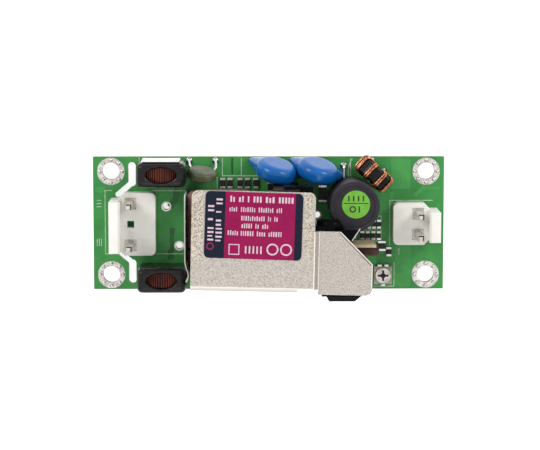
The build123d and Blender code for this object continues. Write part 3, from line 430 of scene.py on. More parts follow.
def makeTurnTree():
    # round wire wound through a ring: one squared loop, laid side by side, set round the ring
    lengths = ("Inner Radius", "Outer Radius", "Depth", "Wire", "Corner", "Strand Pitch")
    tree, put = newTree("wound turns", lengths, ("Strands",))
    inner, outer, wire = put["Inner Radius"], put["Outer Radius"], put["Wire"]
    width = mathOf(tree, "SUBTRACT", mathOf(tree, "SUBTRACT", outer, inner), wire)
    size = {"Width": width, "Height": mathOf(tree, "SUBTRACT", put["Depth"], wire)}
    loop = outOf(tree, "GeometryNodeCurvePrimitiveQuadrilateral", size, mode="RECTANGLE")
    corner = {"Curve": loop, "Radius": put["Corner"], "Count": 4}
    rounded = outOf(tree, "GeometryNodeFilletCurve", corner, mode="POLY")
    middle = vectorOf(tree, X=mathOf(tree, "MULTIPLY", mathOf(tree, "ADD", outer, inner), 0.5))
    moved = outOf(tree, "GeometryNodeTransform", {"Geometry": rounded, "Translation": middle})
    circle = {"Resolution": 8, "Radius": mathOf(tree, "MULTIPLY", wire, 0.5)}
    section = outOf(tree, "GeometryNodeCurvePrimitiveCircle", circle, mode="RADIUS")
    strand = outOf(tree, "GeometryNodeCurveToMesh", {"Curve": moved, "Profile Curve": section})
    span = mathOf(tree, "MULTIPLY", mathOf(tree, "SUBTRACT", put["Strands"], 1.0), put["Strand Pitch"])
    start = vectorOf(tree, Z=mathOf(tree, "MULTIPLY", span, -0.5))
    steps = {"Count": put["Strands"], "Start Location": start, "Offset": vectorOf(tree, Z=put["Strand Pitch"])}
    bundle = onPoints(tree, outOf(tree, "GeometryNodeMeshLine", steps, mode="OFFSET"), strand)
    angle = outOf(tree, "GeometryNodeInputNamedAttribute", {"Name": "angle"}, data_type="FLOAT")
    ring = onPoints(tree, put["Geometry"], bundle, Rotation=vectorOf(tree, Y=angle))
    return closeTree(tree, ring, put["Material"])


def makeCollarTree():
    # a solder collar round each lead: a low wide foot under a steeper cone
    tree, put = newTree("solder collars", ("Foot Radius", "Lead Radius", "Height"), ("Sides",))
    wide, narrow, height = put["Foot Radius"], put["Lead Radius"], put["Height"]
    waist = mathOf(tree, "ADD", mathOf(tree, "MULTIPLY", wide, 0.45), mathOf(tree, "MULTIPLY", narrow, 0.55))
    low = mathOf(tree, "MULTIPLY", height, 0.35)
    high = mathOf(tree, "MULTIPLY", height, 0.65)
    cones = []
    for top, bottom, depth in ((waist, wide, low), (narrow, waist, high)):
        size = {"Vertices": put["Sides"], "Radius Top": top, "Radius Bottom": bottom, "Depth": depth}
        cones.append(outOf(tree, "GeometryNodeMeshCone", size))
    raised = outOf(tree, "GeometryNodeTransform", {"Geometry": cones[1], "Translation": vectorOf(tree, Z=low)})
    both = addNode(tree, "GeometryNodeJoinGeometry")
    for part in (raised, cones[0]):
        tree.links.new(part, both.inputs[0])
    return closeTree(tree, onPoints(tree, put["Geometry"], both.outputs[0]), put["Material"])


def makeDotTree():
    # small solder domes on a circle round each point
    tree, put = newTree("ring of dots", ("Ring Radius", "Dot Radius", "Dot Height"), ("Dots",))
    circle = {"Vertices": put["Dots"], "Radius": put["Ring Radius"]}
    ring = outOf(tree, "GeometryNodeMeshCircle", circle, fill_type="NONE")
    ball = outOf(tree, "GeometryNodeMeshUVSphere", {"Segments": 10, "Rings": 6, "Radius": put["Dot Radius"]})
    squash = vectorOf(tree, X=1.0, Y=1.0, Z=mathOf(tree, "DIVIDE", put["Dot Height"], put["Dot Radius"]))
    dome = outOf(tree, "GeometryNodeTransform", {"Geometry": ball, "Scale": squash})
    return closeTree(tree, onPoints(tree, put["Geometry"], onPoints(tree, ring, dome)), put["Material"])


def makeBarTree():
    # a printed row of small upright bars; each point carries its width and height
    tree, put = newTree("printed bars", ("Thickness",))
    bar = outOf(tree, "GeometryNodeMeshCube", {"Size": (1.0, 1.0, 1.0)})
    wide, tall = (
        outOf(tree, "GeometryNodeInputNamedAttribute", {"Name": name}, data_type="FLOAT") for name in ("wide", "tall")
    )
    size = vectorOf(tree, X=wide, Y=tall, Z=put["Thickness"])
    return closeTree(tree, onPoints(tree, put["Geometry"], bar, Scale=size), put["Material"])


turnTree = makeTurnTree()
collarTree = makeCollarTree()
dotTree = makeDotTree()
barTree = makeBarTree()
print("trees built")

# Circuit board; places are in mm here and below
boardLook = {
    "mask": lookOf((66, 148, 74), (50, 126, 60), 6.0, (0.3, 0.46), 0.012, 0.5, specular=0.25),
    "copper": lookOf((71, 152, 77), (58, 137, 67), 3.0, (0.28, 0.42), 0.01, 0.4, specular=0.25),
    "gap": lookOf((52, 110, 60), (42, 94, 52), 2.0, (0.32, 0.48), 0.01, 0.5, specular=0.25),
    "print": lookOf((190, 208, 184), (148, 178, 146), 0.7, (0.55, 0.75), 0.006, 0.12),
    "edge": ((108, 122, 74), (132, 150, 96)), "fibre": 0.35, "weave": 0.55,
    "corner": 0.3, "topRun": 0.7, "gapRun": 1.2, "copperRise": 0.02, "gapRise": 0.012,
    "underRun": 1.1, "line": 0.15, "inkRise": 0.035, "arc": ((19.8, 9.75), 4.6, 4.75), "arcSpan": (146, 100),
}


def boardMaterial(look):
    # green mask over a woven laminate, with the sawn edge left pale
    material = finishOf("board mask", look["mask"])
    tree = material.node_tree
    place = placeIn(tree)
    upright = mathOf(tree, "LESS_THAN", mathOf(tree, "ABSOLUTE", facingIn(tree)["Z"]), 0.5)
    dark, light = look["edge"]
    strands = noiseAt(tree, place, look["fibre"], stretch=(0.25, 0.25, 2.0))
    shader = overlaid(material, upright, rampOf(tree, strands, tone(*dark), tone(*light)))
    values = {"Vector": place, "Scale": 1 / (look["weave"] * mm) / 3.14, "Distortion": 0.6}
    waves = [addNode(tree, "ShaderNodeTexWave", values, bands_direction=axis) for axis in ("X", "Y")]
    cloth = mathOf(tree, "MULTIPLY", *(wave.outputs["Fac"] for wave in waves))
    under = shader.inputs["Normal"].links[0].from_socket
    values = {"Height": cloth, "Normal": under, "Strength": 0.35, "Distance": 0.012 * mm}
    feed(shader, {"Normal": addNode(tree, "ShaderNodeBump", values).outputs["Normal"]})
    return material


def boardCopper(name, areas, runs, width, bottom, top, material):
    # chamfered areas, each given by its west, south, east and north, and mitred runs
    bm = bmesh.new()
    for area in areas:
        c = boardLook["corner"]
        west, south, east, north = area
        outline = [(west + c, south), (east - c, south), (east, south + c), (east, north - c)]
        outline += [(east - c, north), (west + c, north), (west, north - c), (west, south + c)]
        addSlab(bm, outline, bottom, top)
    for n, run in enumerate(runs):
        step = 0.003 + 0.0012 * n  # crossing runs keep off one plane
        addRibbon(bm, run, width, bottom - (step if bottom < 0 else 0), top + (0 if bottom < 0 else step))
    newPiece(name, bm, material)


maskMaterial = boardMaterial(boardLook)
copperUnderMask = finishOf("copper under the mask", boardLook["copper"])
bareGap = finishOf("laminate under the mask", boardLook["gap"])
printMaterial = finishOf("board print", boardLook["print"])
dressed("circuit_board", maskMaterial)

# copper and bare gaps that show through the mask on the top side
copperAreas = [
    (-21.3, -5.2, -18.85, 2.7), (-33.0, 5.9, -31.0, 7.0), (-16.1, 7.3, -14.8, 9.0), (23.3, 6.5, 27.0, 12.3),
    (24.2, -12.3, 27.2, -4.6), (-24.6, 6.6, -23.2, 9.1), (16.4, -8.2, 20.6, -3.6),
]
darkAreas = [(-7.2, 9.2, -6.7, 12.6)]
darkRuns = [[(-17.4, 6.6), (-17.7, 4.6), (-18.9, 3.1)], [(-18.4, -0.9), (-18.7, -3.0), (-18.7, -7.0)]]
copperRuns = [
    [(-24.3, -6.6), (-24.3, -9.0)], [(-13.9, 7.0), (-10.4, 7.0), (-9.9, 6.5)], [(14.6, 12.0), (18.2, 12.0)],
    [(22.4, 2.4), (23.4, 3.4), (23.4, 6.0)], [(18.1, -5.6), (22.0, -5.6)], [(27.9, 5.2), (29.4, 6.7), (32.6, 6.7)],
]
printBottom = boardTop - sunk
copperTop, gapTop = boardTop + boardLook["copperRise"], boardTop + boardLook["gapRise"]
boardCopper("topCopper", copperAreas, copperRuns, boardLook["topRun"], printBottom, copperTop, copperUnderMask)
boardCopper("topGaps", darkAreas, darkRuns, boardLook["gapRun"], printBottom, gapTop, bareGap)

# white print on the top side
printLines = [
    [(-29.8, 6.25), (-31.14, 6.25), (-31.14, -5.9), (-29.8, -5.9)],
    *([(-32.75, y), (-31.85, y)] for y in (4.35, 3.75, 3.15)),
    *([(x, -4.4), (x, -3.0)] for x in (-32.7, -32.3, -31.9)),
    [(-22.3, 6.2), (-15.5, 6.2)], [(-22.3, -5.9), (-16.2, -5.9)], [(-8.8, 9.2), (-8.8, 12.4)],
    [(-5.2, 9.2), (-5.2, 12.4)], [(-8.9, 9.05), (-1.65, 9.05)], [(-9.8, 6.3), (-9.8, 8.8)],
    [(23.1, -5.0), (23.1, 4.3), (31.3, 4.3)], [(19.8, 1.3), (21.5, 1.3), (21.5, 0.05)],
    [(-24.6, 11.1), (-24.6, 12.5)], [(15.57, 9.0), (15.57, 12.4)],
    [(17.3, -1.35), (17.3, -3.5), (21.5, -3.5), (21.5, -1.35), (17.45, -1.35)],
    [(19.6, -12.2), (24.0, -12.2), (24.0, -7.6)], [(24.9, -6.2), (24.9, -4.9)],
]
bm = bmesh.new()
printTop = boardTop + boardLook["inkRise"]
for n, line in enumerate(printLines):
    addRibbon(bm, line, boardLook["line"], printBottom, printTop + 0.0006 * n)
start, sweep = (math.radians(angle) for angle in boardLook["arcSpan"])
addRing(bm, *boardLook["arc"], printBottom, printTop, 24, start, sweep)
newPiece("topPrint", bm, printMaterial)
print("board dressed")

# Tinned lands, solder and leads
metalLook = {
    "land": lookOf((222, 214, 208), (172, 162, 158), 0.7, (0.25, 0.45), 0.05, 0.5, metal=0.6),
    "tin": lookOf((214, 212, 208), (176, 174, 170), 0.8, (0.2, 0.38), 0.01, 0.3, metal=1.0),
    # the mark colour is a painted shadow on the pins' cut ends
    "mark": lookOf((66, 62, 56), (46, 43, 38), 0.5, (0.45, 0.6), 0.004, 0.2, specular=0.15),
    "pin": lookOf((212, 209, 200), (188, 184, 174), 0.8, (0.32, 0.46), 0.01, 0.3, metal=0.3),
    "solder": lookOf((205, 206, 208), (160, 162, 166), 0.6, (0.16, 0.34), 0.02, 0.4, metal=1.0),
    "dots": {"Dots": 8, "Ring Radius": 2.14, "Dot Radius": 0.4, "Dot Height": 0.26}, "dotLift": 0.06,
    "collar": {"Foot Radius": 0.72, "Lead Radius": 0.3, "Height": 0.4, "Sides": 16},
    "pinShadowShape": {"side": 0.12, "end": 0.1, "width": 0.2, "depth": 0.2},
}
landMaterial = finishOf("tinned land", metalLook["land"])
tinMaterial = finishOf("tinned wire", metalLook["tin"])
solderMaterial = finishOf("solder", metalLook["solder"])
pinMaterial = finishOf("tinned pin", metalLook["pin"])
for node in ("mounting_lands", "spare_lands"):
    dressed(node, landMaterial)
for node in (
    "inrush_thermistor_leads", "y_capacitor_left_leads", "y_capacitor_right_leads", "drum_inductor_leads",
    "bulk_capacitor_leads", "output_capacitor_leads", "transformer_pins", "surface_leads", "power_transistor_tab",
):
    dressed(node, tinMaterial)
for node, material in (
    ("chip_terminals", tinMaterial), ("trimmer_terminals", tinMaterial), ("ac_header_pins", pinMaterial),
    ("dc_header_pins", pinMaterial),
):
    softened(node, material, rounding["terminal"])
dressed("solder_joints", solderMaterial)

holeCentres = [(x, y) for x in (-30.0, 30.0) for y in (-9.9, 9.9)]
dots = []
for z in (boardTop + metalLook["dotLift"], -metalLook["dotLift"]):
    places = [(x, y, z) for x, y in holeCentres]
    dots.append(grown("landDots", dotTree, metalLook["dots"], solderMaterial, places))
newPiece("landDots", joined(dots), solderMaterial, smooth=True)

leadSpots = [
    (-22.65, 9.9), (-17.65, 9.9), (-22.65, -9.9), (-17.65, -9.9), (-15.1, 11.95), (-10.1, 11.95),
    (14.25, 11.0), (16.1, -2.8),
]
places = [(x, y, boardTop) for x, y in leadSpots]
collars = grown("leadCollars", collarTree, metalLook["collar"], solderMaterial, places)
newPiece("leadCollars", collars, solderMaterial, smooth=True)
print("lands and solder done")

# Headers
headerLook = lookOf(
    (242, 240, 234), (231, 228, 220), 4.0, (0.34, 0.5), 0.012, 0.25, glow=0.35, glowDepth=1.0, specular=0.3,
)
nylon = finishOf("header nylon", headerLook)
for node in ("ac_header_housing", "dc_header_housing"):
    softened(node, nylon, rounding["header"], 3)
# painted shadow in the dark corner of each pin's cut end
mark = metalLook["pinShadowShape"]
bm = bmesh.new()
for node in ("ac_header_pins", "dc_header_pins"):
    places = [cad[node].matrix_world @ v.co / mm for v in cad[node].data.vertices]
    high = max(p.z for p in places)
    ends = [p for p in places if p.z > high - 0.3]
    split = sum(p.y for p in ends) / len(ends)
    for upper in (True, False):
        group = [p for p in ends if (p.y > split) == upper]
        west, south = (min(p[n] for p in group) + mark["end"] for n in (0, 1))
        east, north = (max(p[n] for p in group) - mark["side"] for n in (0, 1))
        addRibbon(bm, [(west, north), (east, north), (east, south)], mark["width"], high - mark["depth"], high + sunk)
newPiece("pinEndShadows", bm, finishOf("painted pin shadow", metalLook["mark"]))
print("headers dressed")

# Input chokes
chokeLook = {
    "sleeve": lookOf((30, 28, 29), (16, 15, 16), 1.6, (0.16, 0.34), 0.08, 1.2, reliefDetail=2.0, specular=0.22),
    "wire": lookOf((104, 50, 38), (52, 24, 20), 2.2, (0.3, 0.46), 0.004, 0.2, metal=0.5, specular=0.3),
    "core": lookOf((60, 62, 64), (40, 42, 44), 0.5, (0.5, 0.7), 0.02, 0.2),
    "centre": (-20.15, 9.9, 6.27), "turns": 52, "leadSpread": 2.5, "leadWire": 0.6,
    "tree": {
        "Inner Radius": 1.28, "Outer Radius": 4.0, "Depth": 3.59, "Wire": 0.4, "Corner": 0.45, "Strands": 1,
        "Strand Pitch": 0.0,
    },
    "leadPath": [(0.0, leadEnd), (0.0, 2.2), (0.12, 3.4)],  # outwards and up
    "skin": {"voxel": 0.11, "smoothing": 30, "swell": 0.18},
    "strip": lookOf((238, 238, 236), (222, 222, 220), 1.0, (0.3, 0.45), 0.01, 0.4),
    "stripBox": (-23.8, 12.4, -16.7, 12.5), "stripHeight": (3.6, 10.2), "stripKick": 0.12,
}
sleeveBlack = finishOf("glossy sleeve", chokeLook["sleeve"])
chokeWire = finishOf("enamelled wire", chokeLook["wire"])
ferrite = finishOf("ferrite", chokeLook["core"])
angles = [math.tau * n / chokeLook["turns"] for n in range(chokeLook["turns"])]
seeds = [(0, 0, 0)] * len(angles)
for name, side in (("line", 1), ("neutral", -1)):
    x, y, z = chokeLook["centre"]
    y = side * y
    place = Matrix.Translation(Vector((x, y, z)) * mm)
    turns = grown(name + "Turns", turnTree, chokeLook["tree"], chokeWire, seeds, place, angle=angles)
    winding = newPiece(name + "ChokeWinding", turns, chokeWire, smooth=True)
    leads = []
    for s in (1, -1):
        route = [(x + s * chokeLook["leadSpread"] + s * out, y, up) for out, up in chokeLook["leadPath"]]
        leads.append(wireMesh(route, chokeLook["leadWire"], name + "Lead"))
    newPiece(name + "ChokeLeads", joined(leads), tinMaterial, smooth=True)
    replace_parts(winding, name + "_choke_winding")
    dressed(name + "_choke_core", ferrite)
    dipped(name + "_choke_sleeve", name + "ChokeSleeve", sleeveBlack, chokeLook["skin"])
# a flat white strip, a painted reflection on the glossy sleeve, stands on the north face of the line choke's sleeve,
# its foot kicked out a little
bm = bmesh.new()
addBox(bm, *chokeLook["stripBox"], *chokeLook["stripHeight"])
for vertex in bm.verts:
    if vertex.co.z < 5 * mm:
        vertex.co.y += chokeLook["stripKick"] * mm
newPiece("lineChokeReflection", bm, finishOf("white strip", chokeLook["strip"]))
print("input chokes wound")

# Thermistor and disc capacitors
discLook = {
    "blue": lookOf(
        (14, 98, 172), (12, 86, 158), 2.5, (0.16, 0.26), 0.03, 0.9, reliefDetail=2.0, specular=0.3, glow=0.06,
    ),
    "green": lookOf((88, 93, 66), (58, 68, 46), 1.6, (0.25, 0.45), 0.02, 0.5, specular=0.35, glow=0.1),
    "skin": {"voxel": 0.13, "smoothing": 12, "share": 0.97},
    "lens": {"voxel": 0.12, "smoothing": 6, "squash": (1.06, 0.78, 1.0), "shift": (0, -0.35, 0)},
    "feet": {
        "Left": [((-3.3, 12.0, 2.1), 0.6), ((6.1, 9.2, 2.1), 0.45)],
        "Right": [((4.5, 12.0, 2.1), 0.6), ((14.3, 9.1, 2.1), 0.45)],
    },
    "leadWire": 0.5,
    "leads": [
        [(-10.1, 11.95, leadEnd), (-10.1, 11.95, 2.4), (-10.0, 11.6, 3.2), (-9.95, 10.6, 3.8), (-10.6, 10.0, 4.0)],
        [(-15.1, 11.95, leadEnd), (-15.1, 11.95, 2.2), (-15.0, 11.4, 2.8), (-14.7, 10.4, 3.2), (-14.2, 9.6, 3.4)],
    ],
}
discBlue = finishOf("blue epoxy coat", discLook["blue"])
thermistorCoat = finishOf("thermistor coat", discLook["green"])
for side, feet in discLook["feet"].items():
    dipped("y_capacitor_" + side.lower(), "discCapacitor" + side, discBlue, discLook["skin"], feet)
dipped("inrush_thermistor", "inrushThermistor", thermistorCoat, discLook["lens"])
leads = [wireMesh(route, discLook["leadWire"], "thermistorLead") for route in discLook["leads"]]
thermistorLeads = newPiece("thermistorLeads", joined(leads), tinMaterial, smooth=True)
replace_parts(thermistorLeads, "inrush_thermistor_leads")
print("coated discs dipped")

# Output choke
toroidLook = {
    "wire": lookOf((204, 138, 98), (84, 46, 32), 0.35, (0.12, 0.22), 0.002, 0.4, metal=0.9),
    "core": lookOf((30, 23, 23), (15, 11, 12), 0.8, (0.18, 0.34), 0.04, 0.5, specular=0.14),
    "centre": (19.8, 9.75, 5.58), "turn": -43, "angles": (21, 64, 92), "leadFace": 1.69, "leadWire": 0.38,
    "tree": {
        "Inner Radius": 1.16, "Outer Radius": 3.78, "Depth": 3.76, "Wire": 0.36, "Corner": 0.75, "Strands": 2,
        "Strand Pitch": 0.42,
    },
    "leadPath": [(1.5, leadEnd - 5.58), (1.5, -3.0), (1.9, -1.6), (2.5, -0.6)],  # outwards and up from the centre
}
toroidWire = finishOf("bare looking wire", toroidLook["wire"])
toroidCore = finishOf("coated core", toroidLook["core"])
softened("output_choke_core", toroidCore, rounding["core"], 4)
turned = Matrix.Rotation(math.radians(toroidLook["turn"]), 4, "Z")
place = Matrix.Translation(Vector(toroidLook["centre"]) * mm) @ turned
seeds = [(0, 0, 0)] * len(toroidLook["angles"])
for half, way in (("west", -1), ("east", 1)):
    angles = [math.radians(way * a - 90) for a in toroidLook["angles"]]
    parts = [grown(half + "Turns", turnTree, toroidLook["tree"], toroidWire, seeds, place, angle=angles)]
    for face in (1, -1):
        route = [(way * out, face * toroidLook["leadFace"], up) for out, up in toroidLook["leadPath"]]
        lead = wireMesh(route, toroidLook["leadWire"], half + "Lead")
        lead.transform(place)
        parts.append(lead)
    name = "outputChoke" + half.capitalize()
    winding = newPiece(name, joined(parts), toroidWire, smooth=True)
    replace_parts(winding, "output_choke_winding_" + half)
print("output choke wound")

# Drum inductor
drumLook = {
    "sleeve": lookOf((46, 43, 50), (36, 34, 40), 2.0, (0.4, 0.55), 0.025, 0.8, specular=0.2),
    "wire": lookOf((150, 80, 48), (110, 52, 32), 1.0, (0.25, 0.4), 0.03, 0.3, metal=0.8, stretch=(0.2, 0.2, 3.0)),
    "paper": lookOf((114, 180, 64), (102, 166, 54), 1.5, (0.45, 0.6), 0.006, 0.15, specular=0.2),
    "ink": lookOf((26, 52, 22), (18, 40, 16), 0.4, (0.5, 0.7), 0.003, 0.1),
    "centre": (16.07, 4.65), "top": 12.38, "ring": (-0.6, -0.9, 0.36, 0.64),
    "strokes": [
        ((-2.2, 0.2), (2.2, 0.2), 0.16), *(((x, 0.72), (x, 1.48), 0.3) for x in (-1.35, -0.45, 0.45, 1.35)),
        ((0.6, -0.5), (0.6, -1.35), 0.3),
    ],
}
shrunkSleeve = finishOf("shrunk sleeve", drumLook["sleeve"])
dressed("drum_inductor_sleeve", shrunkSleeve)
dressed("drum_inductor_core", shrunkSleeve)
dressed("drum_inductor_winding", finishOf("wound drum", drumLook["wire"]))
dressed("inspection_sticker", finishOf("sticker paper", drumLook["paper"]))
cx, cy = drumLook["centre"]
low, high = drumLook["top"] - sunk, drumLook["top"] + sunk
bm = bmesh.new()
for (ax, ay), (bx, by), width in drumLook["strokes"]:
    addStroke(bm, (cx + ax, cy + ay), (cx + bx, cy + by), width, low, high)
x, y, inner, outer = drumLook["ring"]
addRing(bm, (cx + x, cy + y), inner, outer, low, high, 20)
newPiece("stickerPrint", bm, finishOf("sticker ink", drumLook["ink"]))
print("drum inductor dressed")

# Heatsink cover and label; a face with its normal's Z between the first or the last two bends gets a painted
# highlight
coverLook = {
    "tin": lookOf(
        (195, 187, 178), (146, 138, 130), 0.19, (0.32, 0.46), 0.03, 0.2, spread=(0.34, 0.56), roughSize=0.4,
        reliefDetail=3.0, metal=0.5,
    ),
    "coarse": {
        "light": (208, 199, 186), "dark": (142, 130, 116), "size": 0.3, "reach": 9.3, "east": 8.0,
        "fade": (-7.0, -4.0), "middle": -2.9,
    },
    # the lips are painted highlights along the sheet's bends and its slanted edge
    "lips": [  # line, width and height over the board's underside
        ([(13.07, -0.09), (18.91, -6.14), (18.81, -10.6)], 0.15, 16.0),
        ([(8.31, 0.0), (8.06, -11.2)], 0.2, 17.0), ([(9.14, 0.0), (8.89, -11.2)], 0.2, 16.0),
    ],
    "lipDepth": 0.08, "lipRise": 0.03,
    "lip": lookOf((240, 236, 228), (226, 221, 212), 1.0, (0.3, 0.42), 0.004, 0.3, metal=0.4),
    # the crease is a painted shadow inside the slanted edge
    "creaseShadow": ([(12.95, -0.28), (18.7, -6.25)], 0.12, 15.92, 16.02),
    "creaseShade": lookOf((70, 64, 58), (54, 49, 44), 0.6, (0.5, 0.65), 0.004, 0.2, specular=0.1),
    # the bend colour is a painted highlight, laid on faces that slope at the sheet's bends
    "bend": (226, 221, 212), "bends": (0.985, 0.7, 0.55, 0.12),
    "navy": (22, 28, 45), "bands": (-5.25, 7.55),
    "film": lookOf((150, 22, 80), (138, 15, 71), 3.0, (0.4, 0.52), 0.006, 0.5, specular=0.12),
    "centre": (-2.9376, 1.2493), "turn": -2.0, "top": 17.12, "seed": 7,
    "inks": {
        "label": lookOf((222, 200, 212), (204, 176, 192), 0.5, (0.5, 0.65), 0.003, 0.1, specular=0.15),
        "band": lookOf((150, 40, 92), (130, 32, 80), 0.5, (0.5, 0.65), 0.003, 0.1, specular=0.15),
    },
    "rows": [  # from, to, line, width of a bar, gap, height; upright or not
        (-4.4, 7.05, 4.85, 0.36, 0.24, 1.1), (-4.5, -3.1, 2.95, 0.2, 0.2, 0.8), (-2.4, 5.15, 2.95, 0.22, 0.2, 0.88),
        (-2.3, 4.75, 1.35, 0.22, 0.2, 0.88), (-2.2, 2.95, -0.05, 0.22, 0.2, 0.86),
        (-4.7, -2.75, -1.4, 0.22, 0.2, 0.88), (-2.3, 5.7, -1.45, 0.24, 0.2, 0.9),
        (-2.95, 4.8, -7.85, 0.34, 0.4, 1.1, True), (-3.05, 4.95, -6.35, 0.34, 0.4, 1.15, True),
    ],
    "square": (-3.45, -4.45, 0.9, 0.18),  # x, y, half a side and the line; a ring has its two radii there
    "rings": [(3.6, -4.25, 0.82, 1.1), (6.1, -4.25, 0.82, 1.1)], "bandRing": (-7.85, -4.0, 0.45, 0.7),
    "bars": ((-1.3, -0.6, 0.1, 0.8, 1.5), -5.0, -3.9, 0.28),
}


def coverMaterial(look):
    # fine grained tin, coarser beside the label, smooth and with a painted highlight where the sheet is bent
    material = finishOf("tinned sheet", look["tin"])
    tree = material.node_tree
    place = placeIn(tree)
    split = addNode(tree, "ShaderNodeSeparateXYZ", {"Vector": place}).outputs
    coarse = look["coarse"]
    away = mathOf(tree, "ABSOLUTE", mathOf(tree, "SUBTRACT", split["X"], coarse["middle"] * mm))
    far = mathOf(tree, "GREATER_THAN", away, coarse["reach"] * mm)
    beside = mathOf(tree, "MULTIPLY", far, mathOf(tree, "LESS_THAN", split["X"], coarse["east"] * mm))
    start, end = coarse["fade"]
    fade = addNode(tree, "ShaderNodeMapRange", {"Value": split["Y"], "From Min": start * mm, "From Max": end * mm})
    blotches = noiseAt(tree, place, coarse["size"], 2.0)
    grain = rampOf(tree, blotches, tone(*coarse["dark"]), tone(*coarse["light"]), 0.36, 0.58)
    overlaid(material, mathOf(tree, "MULTIPLY", beside, fade.outputs["Result"]), grain)
    # painted highlight on the faces that slope at the bends
    up = facingIn(tree)["Z"]
    steep = [mathOf(tree, "LESS_THAN", up, edge) for edge in look["bends"]]
    first, second = mathOf(tree, "SUBTRACT", *steep[:2]), mathOf(tree, "SUBTRACT", *steep[2:])
    overlaid(material, mathOf(tree, "ADD", first, second), tone(*look["bend"]))
    return material


softened("heatsink_cover", coverMaterial(coverLook), rounding["cover"])
# painted highlights as bright lips along the joggle and the slanted edge, with painted shadow as a dark crease inside
# the slant
bm = bmesh.new()
for line, width, high in coverLook["lips"]:
    addRibbon(bm, line, width, high - coverLook["lipDepth"], high + coverLook["lipRise"])
newPiece("coverLipHighlights", bm, finishOf("bright lip", coverLook["lip"]))
# painted shadow along the crease
bm = bmesh.new()
addRibbon(bm, *coverLook["creaseShadow"])
newPiece("coverCreaseShadow", bm, finishOf("creaseShadow", coverLook["creaseShade"]))


def labelMaterial(look):
    # a magenta field between two navy bands, set along the label's own length
    material = finishOf("label film", look["film"])
    tree = material.node_tree
    x, y = look["centre"]
    own = {"Vector": placeIn(tree), "Location": (x * mm, y * mm, 0), "Rotation": (0, 0, math.radians(look["turn"]))}
    local = addNode(tree, "ShaderNodeMapping", own, vector_type="TEXTURE")
    along = addNode(tree, "ShaderNodeSeparateXYZ", {"Vector": local.outputs[0]}).outputs["X"]
    west = mathOf(tree, "LESS_THAN", along, look["bands"][0] * mm)
    east = mathOf(tree, "GREATER_THAN", along, look["bands"][1] * mm)
    overlaid(material, mathOf(tree, "ADD", west, east), tone(*look["navy"]))
    return material


def barRow(dice, start, end, line, width, gap, tall, upright=False):
    # small bars of uneven width from start to end, with a space now and then
    places, wides, talls = [], [], []
    at = start
    while at + width * 0.6 < end:
        w = width * dice.uniform(0.7, 1.15)
        h = tall * dice.choice((1.0, 1.0, 0.82))
        along, across = at + w / 2, line - (tall - h) / 2
        places.append((across, along, coverLook["top"]) if upright else (along, across, coverLook["top"]))
        wides.append((h if upright else w) * mm)
        talls.append((w if upright else h) * mm)
        at += w + gap * (3.2 if dice.random() < 0.14 else 1.0)
    return places, wides, talls


dressed("rating_label", labelMaterial(coverLook))
labelInk = finishOf("label ink", coverLook["inks"]["label"])
turned = Matrix.Rotation(math.radians(coverLook["turn"]), 4, "Z")
labelPlace = Matrix.Translation(Vector((*coverLook["centre"], 0)) * mm) @ turned
low, high = coverLook["top"] - sunk, coverLook["top"] + sunk
dice = random.Random(coverLook["seed"])
rows = [barRow(dice, *row) for row in coverLook["rows"]]
places, wides, talls = ([value for row in rows for value in row[n]] for n in range(3))
bars = grown("labelBars", barTree, {"Thickness": 0.02}, labelInk, places, wide=wides, tall=talls)
bm = bmesh.new()
bm.from_mesh(bars)
x, y, half, width = coverLook["square"]
corners = [(-1, -1), (1, -1), (1, 1), (-1, 1)]
for (ax, ay), (bx, by) in zip(corners, corners[1:] + corners[:1]):
    ends = [(x + ax * half, y + ay * half), (x + bx * half, y + by * half)]
    addStroke(bm, *ends, width, low, high + 0.001 * (ax + 2 * ay))
barsAt, south, north, width = coverLook["bars"]
for x in barsAt:
    addStroke(bm, (x, south), (x, north), width, low, high)
for x, y, inner, outer in coverLook["rings"]:
    addRing(bm, (x, y), inner, outer, low, high, 30)
bm.transform(labelPlace)
newPiece("labelPrint", bm, labelInk)
bm = bmesh.new()
x, y, inner, outer = coverLook["bandRing"]
addRing(bm, (x, y), inner, outer, low, high, 24)
bm.transform(labelPlace)
newPiece("labelMark", bm, finishOf("band mark ink", coverLook["inks"]["band"]))
print("cover and label dressed")

# Insulation and barrier
sheetLook = {
    "film": lookOf((12, 12, 13), (7, 7, 8), 3.0, (0.14, 0.26), 0.04, 2.2, reliefDetail=1.0, specular=0.03),
    "hem": dict(length=5.8, inset=0.5, inside=1.4, out=0.55, under=1.15, thickness=0.3, drop=3.6),
    "corner": [(17.25, 1.17), (13.9, -3.87), (18.5, -3.87), (18.5, 1.17)], "cutReach": (-2.5, 1.5),
    "edgeHighlightLine": [(16.68, 0.5), (15.2, -1.74)], "edgeHighlightWidth": 0.17,
    # the edge tone is a painted highlight on the film's cut corner
    "edge": lookOf((206, 204, 196), (170, 168, 160), 0.5, (0.3, 0.45), 0.004, 0.2),
    "barrier": lookOf((206, 208, 202), (196, 198, 191), 2.0, (0.45, 0.6), 0.02, 0.3, glow=0.2, glowDepth=0.4),
    "flap": [(8.75, 0.25), (14.0, 0.1), (12.9, 2.15), (8.7, 2.15)], "flapHeight": (13.9, 15.3),
    "roll": (8.25, 0.15, 9.15, 1.0), "rollHeight": (13.7, 15.6), "flapRounding": 0.22,
}
blackFilm = finishOf("black film", sheetLook["film"])
film = cad["insulation_film"].data.vertices
filmTop = max(v.co.z for v in film if v.co.x > 14 * mm and v.co.y > -4 * mm) / mm
low, high = (filmTop + reach for reach in sheetLook["cutReach"])
trimmed("insulation_film", "insulationFilm", blackFilm, sheetLook["corner"], low, high)
